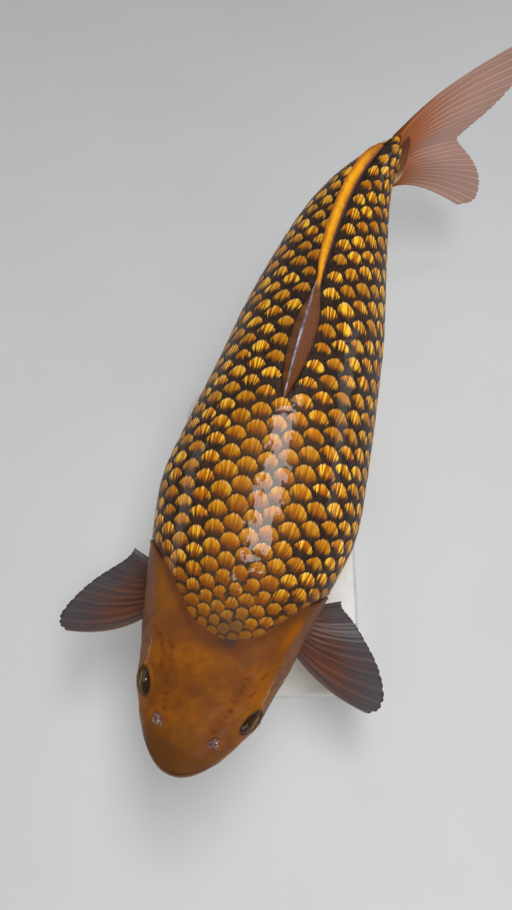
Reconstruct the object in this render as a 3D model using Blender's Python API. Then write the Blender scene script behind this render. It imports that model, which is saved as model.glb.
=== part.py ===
"""Koi carp on a plain display stand, life size, as solids.

Metres, +Z up. The head points towards -Y. The tail bends towards +X, which is the fish's left side.
The origin is the centre of the stand's underside, below the point where the fish balances.

A place on the body is written (t, a): t runs from 0 at the snout to 1 at the root of the tail fin, in
lengths of the body, and a is the angle round it in degrees, 0 on the back, 90 on the left, 180 below.
"""
import math

import bmesh
import bpy
import numpy as np
from mathutils import Matrix, Vector

# ---- driving dimensions -------------------------------------------------------------------------
BODY_LENGTH = 0.54          # snout to the root of the tail fin, along the curved body
AXIS_HEIGHT = 0.170         # the body's axis above the floor
BALANCE_T = 0.42            # the place on the body that stands over the origin
GAP = 0.0003                # clearance between neighbouring pieces
CUT_GAP = 0.0006            # clearance along the body between two lengths of it, whose cuts are oblique

BASE_LENGTH, BASE_WIDTH, BASE_THICKNESS = 0.300, 0.160, 0.014
BASE_CORNER, BASE_EDGE = 0.030, 0.003
ROD_RADIUS, FLANGE_RADIUS, FLANGE_HEIGHT = 0.0045, 0.012, 0.004
ROD_DEPTH = 0.012           # how far a rod goes into the belly
ROD_PLACES = {"front": 0.33, "rear": 0.53}

GILL_PLATE = 0.0035         # thickness of a gill cover
GILL_OPENING = 0.0010       # the slit behind a gill cover
EYE_RADIUS, EYE_FLATNESS, EYE_SINK = 0.0092, 0.74, 0.0042
EYE_PLACE = (0.092, 57)
NOSTRIL_PLACE = (0.053, 30)
LIP_RADIUS, MOUTH_CORNER, MOUTH_DROOP = 0.0031, 0.025, 0.005
FIN_EDGE = 0.0008           # thickness of a fin along its free edge
REAR_RAY = 0.29             # length of a paired fin's rear ray, in lengths of its longest
TIP_TRIM = 0.16             # how much shorter its front ray is than the longest

# The body's heading in degrees from +Y towards +X, and its twist about its own axis, along t.
HEADING = {0: 23, .10: 20, .20: 16, .30: 17.5, .45: 17, .60: 15, .72: 15.5, .82: 19, .92: 31,
           1.0: 50, 1.10: 74, 1.3: 96}
TWIST = {0: 5, .10: 6, .20: 7, .32: 4, .50: 0, 1.3: 0}
# Half width, height above the axis, depth below it and the axis's own rise, in body lengths.
HALF_WIDTH = {0: .047, .04: .058, .09: .079, .15: .097, .20: .1075, .27: .123, .36: .138, .45: .130,
              .55: .1185, .65: .1075, .75: .090, .85: .069, .93: .044, .98: .024, 1.0: .015}
ABOVE = {0: .040, .05: .052, .10: .070, .15: .086, .20: .100, .30: .125, .40: .139, .47: .142,
         .60: .126, .70: .104, .80: .080, .90: .062, 1.0: .056}
BELOW = {0: .036, .05: .052, .10: .068, .20: .098, .30: .130, .40: .148, .50: .148, .60: .132,
         .70: .105, .80: .078, .90: .060, 1.0: .056}
RISE = {0: -.030, .10: -.018, .20: -.006, .35: 0, .70: .004, 1.0: .014}
SQUARENESS = {0: 2.7, .15: 2.6, .30: 2.25, 1.0: 2.1}
SNOUT_ROUND_SIDE, SNOUT_ROUND_TOP = .060, .050

# Where the scales begin behind the head and the gill covers, as t over the angle round the body.
GILL_EDGE = {0: .162, 15: .172, 27: .190, 40: .216, 60: .245, 80: .266, 100: .276, 120: .262, 140: .233,
             160: .207, 180: .198}


def curve(knots):
    """A smooth curve through the knots {x: y} that never swings past them."""
    x = np.array(sorted(knots), float)
    y = np.array([knots[k] for k in sorted(knots)], float)
    slope = np.diff(y) / np.diff(x)
    tangent = np.zeros(len(x))
    tangent[0], tangent[-1] = slope[0], slope[-1]
    for i in range(1, len(x) - 1):
        if slope[i - 1] * slope[i] > 0:
            before, after = x[i] - x[i - 1], x[i + 1] - x[i]
            w0, w1 = 2 * after + before, after + 2 * before
            tangent[i] = (w0 + w1) / (w0 / slope[i - 1] + w1 / slope[i])

    def value(at):
        at = np.clip(np.asarray(at, float), x[0], x[-1])
        i = np.clip(np.searchsorted(x, at, side="right") - 1, 0, len(x) - 2)
        h = x[i + 1] - x[i]
        s = (at - x[i]) / h
        start = (1 + 2 * s) * (1 - s) ** 2 * y[i] + s * (1 - s) ** 2 * h * tangent[i]
        end = s * s * (3 - 2 * s) * y[i + 1] + s * s * (s - 1) * h * tangent[i + 1]
        return start + end
    return value


heading, twist = curve(HEADING), curve(TWIST)
half_width, above, below = curve(HALF_WIDTH), curve(ABOVE), curve(BELOW)
rise, squareness, gill_edge_at = curve(RISE), curve(SQUARENESS), curve(GILL_EDGE)

# The axis in plan, added up from its headings in short steps.
STEPS = np.linspace(0, 1.3, 1301)
_ANGLES = np.radians(heading(STEPS))


def _added_up(step):
    return np.concatenate([[0], np.cumsum((step[1:] + step[:-1]) / 2 * np.diff(STEPS))]) * BODY_LENGTH


_PLAN_X, _PLAN_Y = _added_up(np.sin(_ANGLES)), _added_up(np.cos(_ANGLES))
_PLAN_X -= np.interp(BALANCE_T, STEPS, _PLAN_X)
_PLAN_Y -= np.interp(BALANCE_T, STEPS, _PLAN_Y)


def axis_point(t):
    """The point on the body's axis at t, which also runs on past the body, through the tail fin."""
    z = AXIS_HEIGHT + rise(np.minimum(t, 1)) * BODY_LENGTH
    return np.stack([np.interp(t, STEPS, _PLAN_X), np.interp(t, STEPS, _PLAN_Y), z + 0 * t], -1)


def body_directions(t):
    """Unit vectors at t: towards the tail, to the fish's left, and up, with the body's twist."""
    turn, lean = np.radians(heading(t)), np.radians(twist(t))
    zero = 0 * turn
    back = np.stack([np.sin(turn), np.cos(turn), zero], -1)
    level = np.stack([np.cos(turn), -np.sin(turn), zero], -1)
    up = np.stack([zero, zero, zero + 1], -1)
    c, s = np.cos(lean)[..., None], np.sin(lean)[..., None]
    return back, level * c - up * s, level * s + up * c


def rounded_end(t, reach):
    """How full the snout is: 0 at its tip and 1 from the distance reach on."""
    return np.sqrt(np.maximum(0, 1 - (1 - np.clip(t / reach, 0, 1)) ** 2))


def body_point(t, a, inward=0.0):
    """The point on the body's surface at (t, a), or that far inward of it."""
    t, a = np.broadcast_arrays(np.asarray(t, float), np.radians(np.asarray(a, float)))
    s, c = np.sin(a), np.cos(a)
    power = 2 / squareness(t)
    side = half_width(t) * rounded_end(t, SNOUT_ROUND_SIDE) * BODY_LENGTH - inward
    height = np.where(c > 0, above(t), below(t)) * rounded_end(t, SNOUT_ROUND_TOP) * BODY_LENGTH - inward
    x = side * np.sign(s) * np.abs(s) ** power
    z = height * np.sign(c) * np.abs(c) ** power
    _, left, up = body_directions(t)
    return axis_point(t) + left * x[..., None] + up * z[..., None]


def body_normal(t, a):
    """The unit vector out of the body's surface at (t, a)."""
    step = 1e-3
    along = body_point(t + step, a) - body_point(t - step, a)
    around = body_point(t, a + 1) - body_point(t, a - 1)
    normal = np.cross(around, along)
    normal = normal / np.linalg.norm(normal, axis=-1)[..., None]
    outward = np.sum(normal * (body_point(t, a) - axis_point(np.asarray(t, float))), -1)
    return normal * np.sign(outward)[..., None]


def gill_edge(a):
    """Where the gill cover ends and the scales begin, as t, at the angle a of either side."""
    return gill_edge_at(np.abs((np.asarray(a, float) + 180) % 360 - 180))


# ---- building solids ----------------------------------------------------------------------------
def material(name, colour, roughness, metallic=0.0):
    made = bpy.data.materials.new(name)
    made.use_nodes = True
    shader = made.node_tree.nodes["Principled BSDF"]
    shader.inputs["Base Color"].default_value = (*colour, 1)
    shader.inputs["Roughness"].default_value = roughness
    shader.inputs["Metallic"].default_value = metallic
    made.diffuse_color = (*colour, 1)
    return made


def solid(name, points, faces, surface, sharp_angle=40):
    """One object from points and faces, with its faces turned outward."""
    mesh = bpy.data.meshes.new(name)
    mesh.from_pydata([tuple(p) for p in points], [], faces)
    work = bmesh.new()
    work.from_mesh(mesh)
    bmesh.ops.remove_doubles(work, verts=work.verts, dist=1e-6)
    bmesh.ops.recalc_face_normals(work, faces=work.faces)
    work.to_mesh(mesh)
    work.free()
    mesh.shade_smooth()
    mesh.set_sharp_from_angle(angle=math.radians(sharp_angle))
    mesh.materials.append(surface)
    made = bpy.data.objects.new(name, mesh)
    bpy.context.scene.collection.objects.link(made)
    return made


def loft(name, rings, first_centre, last_centre, surface):
    """A closed solid through rings of points, each end closed by a fan to its own centre."""
    count, sides = rings.shape[:2]
    points = list(rings.reshape(-1, 3)) + [first_centre, last_centre]
    faces = []
    for i in range(count - 1):
        for j in range(sides):
            k = (j + 1) % sides
            faces.append((i * sides + j, i * sides + k, (i + 1) * sides + k, (i + 1) * sides + j))
    first, last = count * sides, count * sides + 1
    for j in range(sides):
        k = (j + 1) % sides
        faces.append((first, k, j))
        faces.append((last, (count - 1) * sides + j, (count - 1) * sides + k))
    return solid(name, points, faces, surface)


def plate(name, outer, inner, surface):
    """A closed solid between two grids of points of the same size."""
    rows, columns = outer.shape[:2]
    points = list(outer.reshape(-1, 3)) + list(inner.reshape(-1, 3))
    under = rows * columns
    faces = []
    for i in range(rows - 1):
        for j in range(columns - 1):
            quad = (i * columns + j, i * columns + j + 1, (i + 1) * columns + j + 1, (i + 1) * columns + j)
            faces.append(quad)
            faces.append(tuple(under + k for k in reversed(quad)))
    rim = list(range(columns))
    rim += [i * columns + columns - 1 for i in range(1, rows)]
    rim += [(rows - 1) * columns + j for j in range(columns - 2, -1, -1)]
    rim += [i * columns for i in range(rows - 2, 0, -1)]
    for here, after in zip(rim, rim[1:] + rim[:1]):
        faces.append((after, here, under + here, under + after))
    return solid(name, points, faces, surface)


def tube(name, path, radii, surface, sides=8):
    """A round solid along a path, with a radius at each of its points."""
    path = [Vector(p) for p in path]
    side = Vector((0, 0, 1))
    rings = []
    for i, here in enumerate(path):
        ahead = path[min(i + 1, len(path) - 1)] - path[max(i - 1, 0)]
        ahead.normalize()
        side = (side - ahead * side.dot(ahead)).normalized()
        other = ahead.cross(side)
        turns = [2 * math.pi * k / sides for k in range(sides)]
        rings.append([here + (side * math.cos(w) + other * math.sin(w)) * radii[i] for w in turns])
    tip = 0.6
    start = path[0] - (path[1] - path[0]).normalized() * radii[0] * tip
    end = path[-1] + (path[-1] - path[-2]).normalized() * radii[-1] * tip
    return loft(name, np.array(rings, float), np.array(start), np.array(end), surface)


def cut(body, cutter):
    """Take the cutter's shape out of the body."""
    cutter.hide_render = True
    cutter.display_type = "WIRE"
    step = body.modifiers.new("cut_" + cutter.name, "BOOLEAN")
    step.operation = "DIFFERENCE"
    step.solver = "EXACT"
    step.object = cutter


# ---- head and trunk -----------------------------------------------------------------------------
SIDES = 32
ANGLES = np.arange(SIDES) * 360 / SIDES


def body_length(name, front, back, rings, surface):
    """A length of the body between two cuts, each given as t over the angle."""
    t_front, t_back = front(ANGLES), back(ANGLES)
    shares = np.linspace(0, 1, rings)[:, None]
    t = t_front * (1 - shares) + t_back * shares
    centres = [axis_point(np.mean(cut_t)) for cut_t in (t_front, t_back)]
    return loft(name, body_point(t, ANGLES[None]), centres[0], centres[1], surface)


def cross_cut(t, clearance=0.0):
    """A cut straight across the body at t, set back by a clearance."""
    return lambda a: np.full(np.shape(a), t + clearance / BODY_LENGTH)


def head(skin):
    rings = 17
    shares = (np.linspace(0, 1, rings + 1)[1:, None]) ** 1.6
    t = shares * gill_edge(ANGLES)[None]
    last = axis_point(np.mean(gill_edge(ANGLES)))
    return loft("head", body_point(t, ANGLES[None]), axis_point(0.0), last, skin)


def trunk(skin):
    """The scaled body in four lengths, from the gill edge to the root of the tail fin."""
    cuts = [("trunk_front", 0.42, 10), ("trunk_middle", 0.64, 8), ("trunk_rear", 0.84, 8),
            ("tail_stem", 1.0, 8)]

    def behind_gills(a):
        return gill_edge(a) + CUT_GAP / BODY_LENGTH

    front, made = behind_gills, {}
    for name, end, rings in cuts:
        made[name] = body_length(name, front, cross_cut(end), rings, skin)
        front = cross_cut(end, GAP)
    return made


def gill_cover_grid(side, inward, spread=0.0, overrun=0.0):
    """Points over a gill cover, that far inward, grown all round by spread and behind by overrun."""
    rows, columns = 11, 5
    v = np.linspace(0, 1, rows)[:, None]
    top, bottom = 50 - spread * 900, 150 + spread * 900
    a = top + (bottom - top) * v
    front = 0.150 + 0.030 * np.abs(2 * v - 1) ** 2.5 - spread / BODY_LENGTH
    back = gill_edge(a) + (overrun or -GILL_OPENING - max(inward, 0) * 0.5) / BODY_LENGTH
    t = front + (back - front) * np.linspace(0, 1, columns)[None]
    return body_point(t, side * a, inward)


def gill_covers(skin, body):
    for word, side in (("left", 1), ("right", -1)):
        plate("gill_cover_" + word, gill_cover_grid(side, -0.0006), gill_cover_grid(side, GILL_PLATE), skin)
        grown = gill_cover_grid(side, -0.006, GAP, 0.002)
        bed = gill_cover_grid(side, GILL_PLATE + GAP, GAP, 0.002)
        cut(body, plate("cutter_gill_cover_" + word, grown, bed, skin))


def eyes(surface, body):
    t, angle = EYE_PLACE
    for word, side in (("left", 1), ("right", -1)):
        outward = Vector(body_normal(np.float64(t), side * angle))
        centre = Vector(body_point(t, side * angle)) - outward * EYE_SINK
        turned = outward.to_track_quat("Z", "Y").to_matrix().to_4x4()
        place = Matrix.Translation(centre) @ turned @ Matrix.Diagonal((1, 1, EYE_FLATNESS, 1))
        for name, grown, segments in (("eye_" + word, 0, 14), ("cutter_eye_" + word, GAP, 16)):
            work = bmesh.new()
            bmesh.ops.create_uvsphere(work, u_segments=segments, v_segments=segments // 2,
                                      radius=EYE_RADIUS + grown)
            bmesh.ops.transform(work, matrix=place, verts=work.verts)
            points = [v.co.copy() for v in work.verts]
            faces = [[v.index for v in f.verts] for f in work.faces]
            work.free()
            ball = solid(name, points, faces, surface)
            if grown:
                cut(body, ball)


def mouth_path(depth, setback, points=15):
    """The line where the snout is that far below its axis, from the right corner to the left one."""
    fullness = depth / (below(0) * BODY_LENGTH)
    front = SNOUT_ROUND_TOP * (1 - math.sqrt(1 - fullness ** 2))
    sweep = np.linspace(-1, 1, points)
    t = front + (MOUTH_CORNER - front) * sweep ** 2
    power = squareness(t)
    level = np.minimum(1, depth / (below(t) * rounded_end(t, SNOUT_ROUND_TOP) * BODY_LENGTH))
    x = half_width(t) * rounded_end(t, SNOUT_ROUND_SIDE) * BODY_LENGTH
    x = x * (1 - level ** power) ** (1 / power) * np.sign(sweep)
    back, left, up = body_directions(t)
    droop = depth + MOUTH_DROOP * np.abs(sweep) ** 3
    return axis_point(t) + left * x[:, None] - up * droop[:, None] + back * setback


def lips(surface, body):
    fullness = 1 - 0.55 * np.abs(np.linspace(-1, 1, 15)) ** 3
    for name, depth, setback in (("upper_lip", 0.0045, 0.0014), ("lower_lip", 0.0112, 0.0030)):
        path = mouth_path(depth, setback)
        radii = LIP_RADIUS * fullness
        tube(name, path, radii, surface)
        cut(body, tube("cutter_" + name, path, radii + GAP, surface, 10))


def barbels(surface):
    """Two pairs of feelers under the corners of the mouth, a short one and behind it a longer one."""
    for name, t, angle, length, radius in (("barbel_front", 0.031, 116, 0.010, 0.0009),
                                           ("barbel_rear", 0.042, 122, 0.021, 0.0012)):
        for word, side in (("left", 1), ("right", -1)):
            outward = body_normal(np.float64(t), side * angle)
            root = body_point(t, side * angle) + outward * (GAP + radius)
            back, _, up = body_directions(np.float64(t))
            share = np.linspace(0, 1, 7)[:, None]
            path = root + length * (share * (outward * 0.12 - up * 0.90) + share ** 2 * back * 0.60)
            tube(name + "_" + word, path, radius * (1 - 0.55 * share[:, 0]), surface, 6)


def nostril_flaps(surface):
    """A rounded flap of flesh over each nostril, lying back over its rear opening."""
    t, angle = NOSTRIL_PLACE
    for word, side in (("left", 1), ("right", -1)):
        outward = body_normal(np.float64(t), side * angle)
        back, _, _ = body_directions(np.float64(t))
        behind = back - outward * back.dot(outward)
        behind /= np.linalg.norm(behind)
        across = np.cross(outward, behind)
        u = np.linspace(-1, 1, 7)[None, :, None]
        v = np.linspace(0, 1, 5)[:, None, None]
        root = body_point(t, side * angle) - behind * 0.0016 + outward * (GAP + 0.0010)
        breadth = across * u * 0.0030 * np.sqrt(1 - (0.92 * v) ** 2)
        grid = root + breadth + behind * v * 0.0058 + outward * 0.0016 * np.sin(v * 1.9)
        thin = outward * (0.0007 - 0.0003 * v)
        plate("nostril_flap_" + word, grid + thin, grid - thin, surface)


# ---- fins ---------------------------------------------------------------------------------------
def fin(name, sheet, thickness, surface):
    """A fin from a grid of points, rays along the rows, with its thickness along each row."""
    along = np.gradient(sheet, axis=1)
    across = np.gradient(sheet, axis=0)
    normal = np.cross(along, across)
    normal /= np.linalg.norm(normal, axis=-1)[..., None]
    offset = normal * (np.asarray(thickness) / 2)[None, :, None]
    return plate(name, sheet + offset, sheet - offset, surface)


def ray_length(v):
    """The length of a paired fin's ray, in reaches, from v = 0 at its front ray to 1 at its rear one."""
    tip = 1 - TIP_TRIM * (1 - np.minimum(v / 0.20, 1)) ** 2.2
    return tip * (REAR_RAY + (1 - REAR_RAY) * (1 - v ** 1.08) ** 1.94)


def paired_fin(name, place, reach, fan, lie, pitch, sweep, surface, rays=11, steps=8):
    """A blade-shaped fin: place of its root, its reach, the spread of its rays and how it lies.

    place is (t, a) of the root's front and back ends; lie is the share of the middle ray's direction
    that goes to the fish's side, forward and up; fan is half the angle between the outer rays; pitch
    is how steeply the fin rises from its front ray to its rear one; sweep is how far the rays' tips
    curve back, as a share of each ray.
    """
    (t0, a0), (t1, a1) = place
    v = np.linspace(0, 1, rays) ** 1.3
    t, a = t0 + (t1 - t0) * v, a0 + (a1 - a0) * v
    root = body_point(t, a) + body_normal(t, a) * 0.0016
    side = math.copysign(1, a0)
    back, left, up = (np.asarray(d) for d in body_directions(np.float64((t0 + t1) / 2)))
    middle = left * side * lie[0] - back * lie[1] + up * lie[2]
    middle /= np.linalg.norm(middle)
    rearward = back * math.cos(math.radians(pitch)) + up * math.sin(math.radians(pitch))
    rearward = rearward - middle * rearward.dot(middle)
    rearward /= np.linalg.norm(rearward)
    turn = np.radians(fan) * (2 * v - 1)
    direction = middle * np.cos(turn)[:, None] + rearward * np.sin(turn)[:, None]
    length = reach * ray_length(v)
    u = np.linspace(0, 1, steps)
    sheet = root[:, None] + direction[:, None] * (length[:, None] * u[None])[..., None]
    sheet = sheet + rearward * (sweep * length[:, None] * u[None] ** 2)[..., None]
    curl = np.cross(middle, rearward)
    curl = curl * math.copysign(1, curl[2])
    curled = np.sin(math.pi * v)[:, None] * u[None] ** 2
    sheet = sheet - curl[None, None] * curled[..., None] * reach * 0.06
    return fin(name, sheet, FIN_EDGE + 0.0022 * (1 - u) ** 2, surface)


def pectoral_fins(surface):
    root = (0.231, 142), (0.267, 144)
    for word, side, reach, forward, fan, pitch, sweep in (("left", 1, .130, .32, 28.5, 39, .36),
                                                          ("right", -1, .112, .78, 27, 10, .49)):
        place = [(t, side * a) for t, a in root]
        lie = 0.94, forward, -0.10
        paired_fin("pectoral_fin_" + word, place, reach, fan, lie, pitch, sweep, surface)


def pelvic_fins(surface):
    for word, side in (("left", 1), ("right", -1)):
        place = ((0.475, side * 152), (0.505, side * 156))
        paired_fin("pelvic_fin_" + word, place, 0.070, 24, (0.62, -0.60, -0.42), 19, 0.16, surface, 10, 6)


def dorsal_fin(surface):
    """The back fin, half folded: a low wedge in front that leans to the right behind."""
    start, end = 0.462, 0.962
    height = curve({start: .0015, .50: .013, .555: .020, .61: .014, .645: .0055, .665: .0040, .70: .0064,
                    .77: .0090, .88: .0098, .93: .0085, end: .0035})
    root_half = curve({start: .0012, .50: .0064, .55: .0094, .59: .0086, .63: .0042, .655: .0018,
                       .70: .0014, end: .0009})
    lean = curve({start: 0, .60: 3, .65: 25, .69: 60, .86: 64, end: 58})
    lift = curve({start: GAP * 2, .83: GAP * 2, .89: .0016, end: .0034})
    t = np.linspace(start, end, 27)
    _, left, up = body_directions(t)
    tilt = np.radians(lean(t))[:, None]
    rising = up * np.cos(tilt) - left * np.sin(tilt)
    seat = lift(t)[:, None] + root_half(t)[:, None] * np.sin(tilt) + 0.0006
    root = body_point(t, 0) + up * seat
    u = np.linspace(0, 1, 5)
    middle = root[:, None] + rising[:, None] * (height(t)[:, None] * u[None])[..., None]
    half = FIN_EDGE / 2 + (root_half(t) - FIN_EDGE / 2)[:, None] * (1 - u[None]) ** 1.1
    across = left * np.cos(tilt) + up * np.sin(tilt)
    offset = across[:, None] * half[..., None]
    return plate("dorsal_fin", middle + offset, middle - offset, surface)


def tail_fin(surface):
    """The forked tail fin, in its upper and lower halves, on the bent line of the body's axis."""
    middle_length, lobe_length, spread = 0.066, 0.122, 34
    for word, side in (("upper", 1), ("lower", -1)):
        v = np.linspace(0.03, 1, 10)
        height = above(1.0) if side > 0 else below(1.0)
        start = v * height * BODY_LENGTH * 0.94
        length = middle_length + (lobe_length - middle_length) * np.sin(v * math.pi / 2) ** 1.5
        length = length * (1 - 2.4 * np.maximum(0, v - 0.86) ** 1.5)
        turn = np.radians(spread * v ** 1.15)
        u = np.linspace(0, 1, 9)
        reach = length[:, None] * u[None]
        along = reach * np.cos(turn)[:, None] + 0.0008
        z = side * (start[:, None] + reach * np.sin(turn)[:, None] + 0.05 * v[:, None] * reach * u[None])
        t = 1 + along / BODY_LENGTH
        _, left, up = body_directions(t)
        wave = 0.003 * np.sin(u[None] * math.pi) * np.sin(v[:, None] * math.pi * 1.5)
        sheet = axis_point(t) + up * z[..., None] + left * wave[..., None]
        fin("caudal_fin_" + word, sheet, FIN_EDGE + 0.009 * (1 - u) ** 4, surface)


def anal_fin(surface):
    v = np.linspace(0, 1, 8)
    t = 0.725 + 0.070 * v
    root = body_point(t, 180) - np.array([0, 0, 0.0010])
    back, _, up = body_directions(t)
    turn = np.radians(38 - 22 * v)[:, None]
    direction = back * np.cos(turn) - up * np.sin(turn)
    length = 0.070 * (1 - 0.45 * v)
    u = np.linspace(0, 1, 7)
    sheet = root[:, None] + direction[:, None] * (length[:, None] * u[None])[..., None]
    sheet = sheet - np.array([0, 0, 0.012]) * ((1 - v)[:, None] * np.sin(u * math.pi / 2)[None])[..., None]
    return fin("anal_fin", sheet, FIN_EDGE + 0.0024 * (1 - u) ** 2, surface)


# ---- stand --------------------------------------------------------------------------------------
def stand(surface, metal, lengths):
    work = bmesh.new()
    steps = 8
    outline = []
    for cx, cy, start in ((1, 1, 0), (-1, 1, 90), (-1, -1, 180), (1, -1, 270)):
        for k in range(steps + 1):
            turn = math.radians(start + 90 * k / steps)
            x = cx * (BASE_WIDTH / 2 - BASE_CORNER) + BASE_CORNER * math.cos(turn)
            y = cy * (BASE_LENGTH / 2 - BASE_CORNER) + BASE_CORNER * math.sin(turn)
            outline.append(work.verts.new((x, y, 0)))
    face = work.faces.new(outline)
    raised = bmesh.ops.extrude_face_region(work, geom=[face])["geom"]
    upper = [v for v in raised if isinstance(v, bmesh.types.BMVert)]
    bmesh.ops.translate(work, verts=upper, vec=(0, 0, BASE_THICKNESS))
    rim = [e for e in work.edges if all(v in upper for v in e.verts)]
    bmesh.ops.bevel(work, geom=rim, offset=BASE_EDGE, segments=3, profile=0.5, affect="EDGES")
    work.verts.ensure_lookup_table()
    work.verts.index_update()
    points = [v.co.copy() for v in work.verts]
    faces = [[v.index for v in f.verts] for f in work.faces]
    work.free()
    solid("stand_base", points, faces, surface, 30)

    for word, t in ROD_PLACES.items():
        foot = axis_point(np.float64(t))
        belly = body_point(t, 180)[2]
        floor, top = BASE_THICKNESS + GAP, belly + ROD_DEPTH
        profile = [(FLANGE_RADIUS, floor), (FLANGE_RADIUS, floor + FLANGE_HEIGHT * 0.6),
                   (FLANGE_RADIUS * 0.8, floor + FLANGE_HEIGHT), (ROD_RADIUS, floor + FLANGE_HEIGHT),
                   (ROD_RADIUS, top)]
        for name, grown in (("stand_rod_" + word, 0.0), ("cutter_rod_" + word, GAP)):
            turns = np.arange(20) * 2 * math.pi / 20
            rings = [[(foot[0] + (r + grown) * math.cos(w), foot[1] + (r + grown) * math.sin(w), z)
                      for w in turns] for r, z in profile]
            low, high = (foot[0], foot[1], floor), (foot[0], foot[1], top + grown)
            rings = np.array(rings)
            rings[-1, :, 2] += grown
            rod = loft(name, rings, np.array(low), np.array(high), metal)
            if grown:
                for length in lengths:
                    cut(length, rod)


def build():
    for old in list(bpy.data.objects):
        bpy.data.objects.remove(old)
    head_skin = material("head_skin", (0.30, 0.11, 0.02), 0.35)
    scaled_skin = material("scaled_skin", (0.62, 0.33, 0.03), 0.35, 0.2)
    fin_skin = material("fin_skin", (0.20, 0.09, 0.045), 0.45)
    lip_skin = material("lip_skin", (0.20, 0.05, 0.02), 0.4)
    eye_surface = material("eye_surface", (0.03, 0.02, 0.01), 0.1)
    base_finish = material("base_finish", (0.55, 0.54, 0.52), 0.4)
    rod_metal = material("rod_metal", (0.55, 0.55, 0.56), 0.3, 1.0)

    front = head(head_skin)
    lengths = trunk(scaled_skin)
    gill_covers(head_skin, front)
    eyes(eye_surface, front)
    lips(lip_skin, front)
    barbels(lip_skin)
    nostril_flaps(lip_skin)
    pectoral_fins(fin_skin)
    pelvic_fins(fin_skin)
    dorsal_fin(fin_skin)
    tail_fin(fin_skin)
    anal_fin(fin_skin)
    stand(base_finish, rod_metal, [lengths["trunk_front"], lengths["trunk_middle"]])


build()
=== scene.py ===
"""Koi carp on a plain display stand: its skin, fins, scales and eyes over the frame, with light and camera.

Metres, +Z up, the head towards -Y. A place on the body is (t, a): t runs from 0 at the snout to 1 at the
root of the tail fin, and a is the angle round the body, 0 on the back, 90 on the fish's left, 180 below.
A side is 1 for the fish's left and -1 for its right.
"""
import math

import bpy
import numpy as np
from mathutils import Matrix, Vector


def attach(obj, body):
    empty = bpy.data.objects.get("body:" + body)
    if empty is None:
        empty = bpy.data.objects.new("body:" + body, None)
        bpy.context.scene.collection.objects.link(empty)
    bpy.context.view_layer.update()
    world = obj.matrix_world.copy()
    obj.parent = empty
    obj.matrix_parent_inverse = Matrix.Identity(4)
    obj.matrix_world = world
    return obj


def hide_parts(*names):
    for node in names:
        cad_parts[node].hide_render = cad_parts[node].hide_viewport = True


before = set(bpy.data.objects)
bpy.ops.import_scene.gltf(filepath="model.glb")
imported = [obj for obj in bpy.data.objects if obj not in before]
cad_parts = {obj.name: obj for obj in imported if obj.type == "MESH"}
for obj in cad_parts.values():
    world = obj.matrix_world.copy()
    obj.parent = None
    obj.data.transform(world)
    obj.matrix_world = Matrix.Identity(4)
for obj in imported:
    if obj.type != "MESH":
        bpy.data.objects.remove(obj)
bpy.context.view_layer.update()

# ---- the body's shape, as the solids have it ------------------------------------------------------
BODY_LENGTH = 0.54
AXIS_HEIGHT = 0.170
BALANCE_T = 0.42                          # the part of the axis that stands over the origin
GAP = 0.0003                              # between one solid and the next
EYE_RADIUS, EYE_FLATNESS, EYE_SINK = 0.0092, 0.74, 0.0042
EYE_STRETCH, EYE_NARROWING = 1.26, 0.84
EYE_PLACE, NOSTRIL_PLACE = (0.092, 57), (0.053, 30)
MOUTH_CORNER, MOUTH_DROOP = 0.025, 0.005
FIN_EDGE = 0.0008                         # the thickness of a fin at its edge
REAR_RAY, TIP_TRIM = 0.29, 0.16
SNOUT_ROUND_SIDE, SNOUT_ROUND_TOP, TAIL_ROUND = .060, .050, .030


def curve(knots):
    """A smooth curve through the knots {x: y} that never swings past them."""
    x = np.array(sorted(knots), float)
    y = np.array([knots[k] for k in sorted(knots)], float)
    slope = np.diff(y) / np.diff(x)
    tangent = np.zeros(len(x))
    tangent[0], tangent[-1] = slope[0], slope[-1]
    for i in range(1, len(x) - 1):
        if slope[i - 1] * slope[i] > 0:
            before, after = x[i] - x[i - 1], x[i + 1] - x[i]
            w0, w1 = 2 * after + before, after + 2 * before
            tangent[i] = (w0 + w1) / (w0 / slope[i - 1] + w1 / slope[i])

    def value(at):
        at = np.clip(np.asarray(at, float), x[0], x[-1])
        i = np.clip(np.searchsorted(x, at, side="right") - 1, 0, len(x) - 2)
        h = x[i + 1] - x[i]
        s = (at - x[i]) / h
        start = (1 + 2 * s) * (1 - s) ** 2 * y[i] + s * (1 - s) ** 2 * h * tangent[i]
        end = s * s * (3 - 2 * s) * y[i + 1] + s * s * (s - 1) * h * tangent[i + 1]
        return start + end
    return value


# Along t: the direction in plan and the twist, in degrees, and the rest in shares of the body's length.
heading = curve({0: 23, .10: 20, .20: 16, .30: 17.5, .45: 17, .60: 15, .72: 15.5, .82: 19, .92: 31, 1.0: 50,
                 1.10: 74, 1.3: 96})
twist = curve({0: 5, .10: 6, .20: 7, .32: 4, .50: 0, 1.3: 0})
half_width = curve({0: .047, .04: .058, .09: .079, .15: .097, .20: .1075, .27: .123, .36: .138, .45: .130,
                    .55: .1185, .65: .1075, .75: .090, .85: .069, .93: .044, .98: .024, 1.0: .015})
above = curve({0: .040, .05: .052, .10: .070, .15: .086, .20: .100, .30: .125, .40: .139, .47: .142, .60: .126,
               .70: .104, .80: .080, .90: .062, 1.0: .056})
below = curve({0: .036, .05: .052, .10: .068, .20: .098, .30: .130, .40: .148, .50: .148, .60: .132, .70: .105,
               .80: .078, .90: .060, 1.0: .056})
rise = curve({0: -.030, .10: -.018, .20: -.006, .35: 0, .70: .004, 1.0: .014})
squareness = curve({0: 2.7, .15: 2.6, .30: 2.25, 1.0: 2.1})
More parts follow.
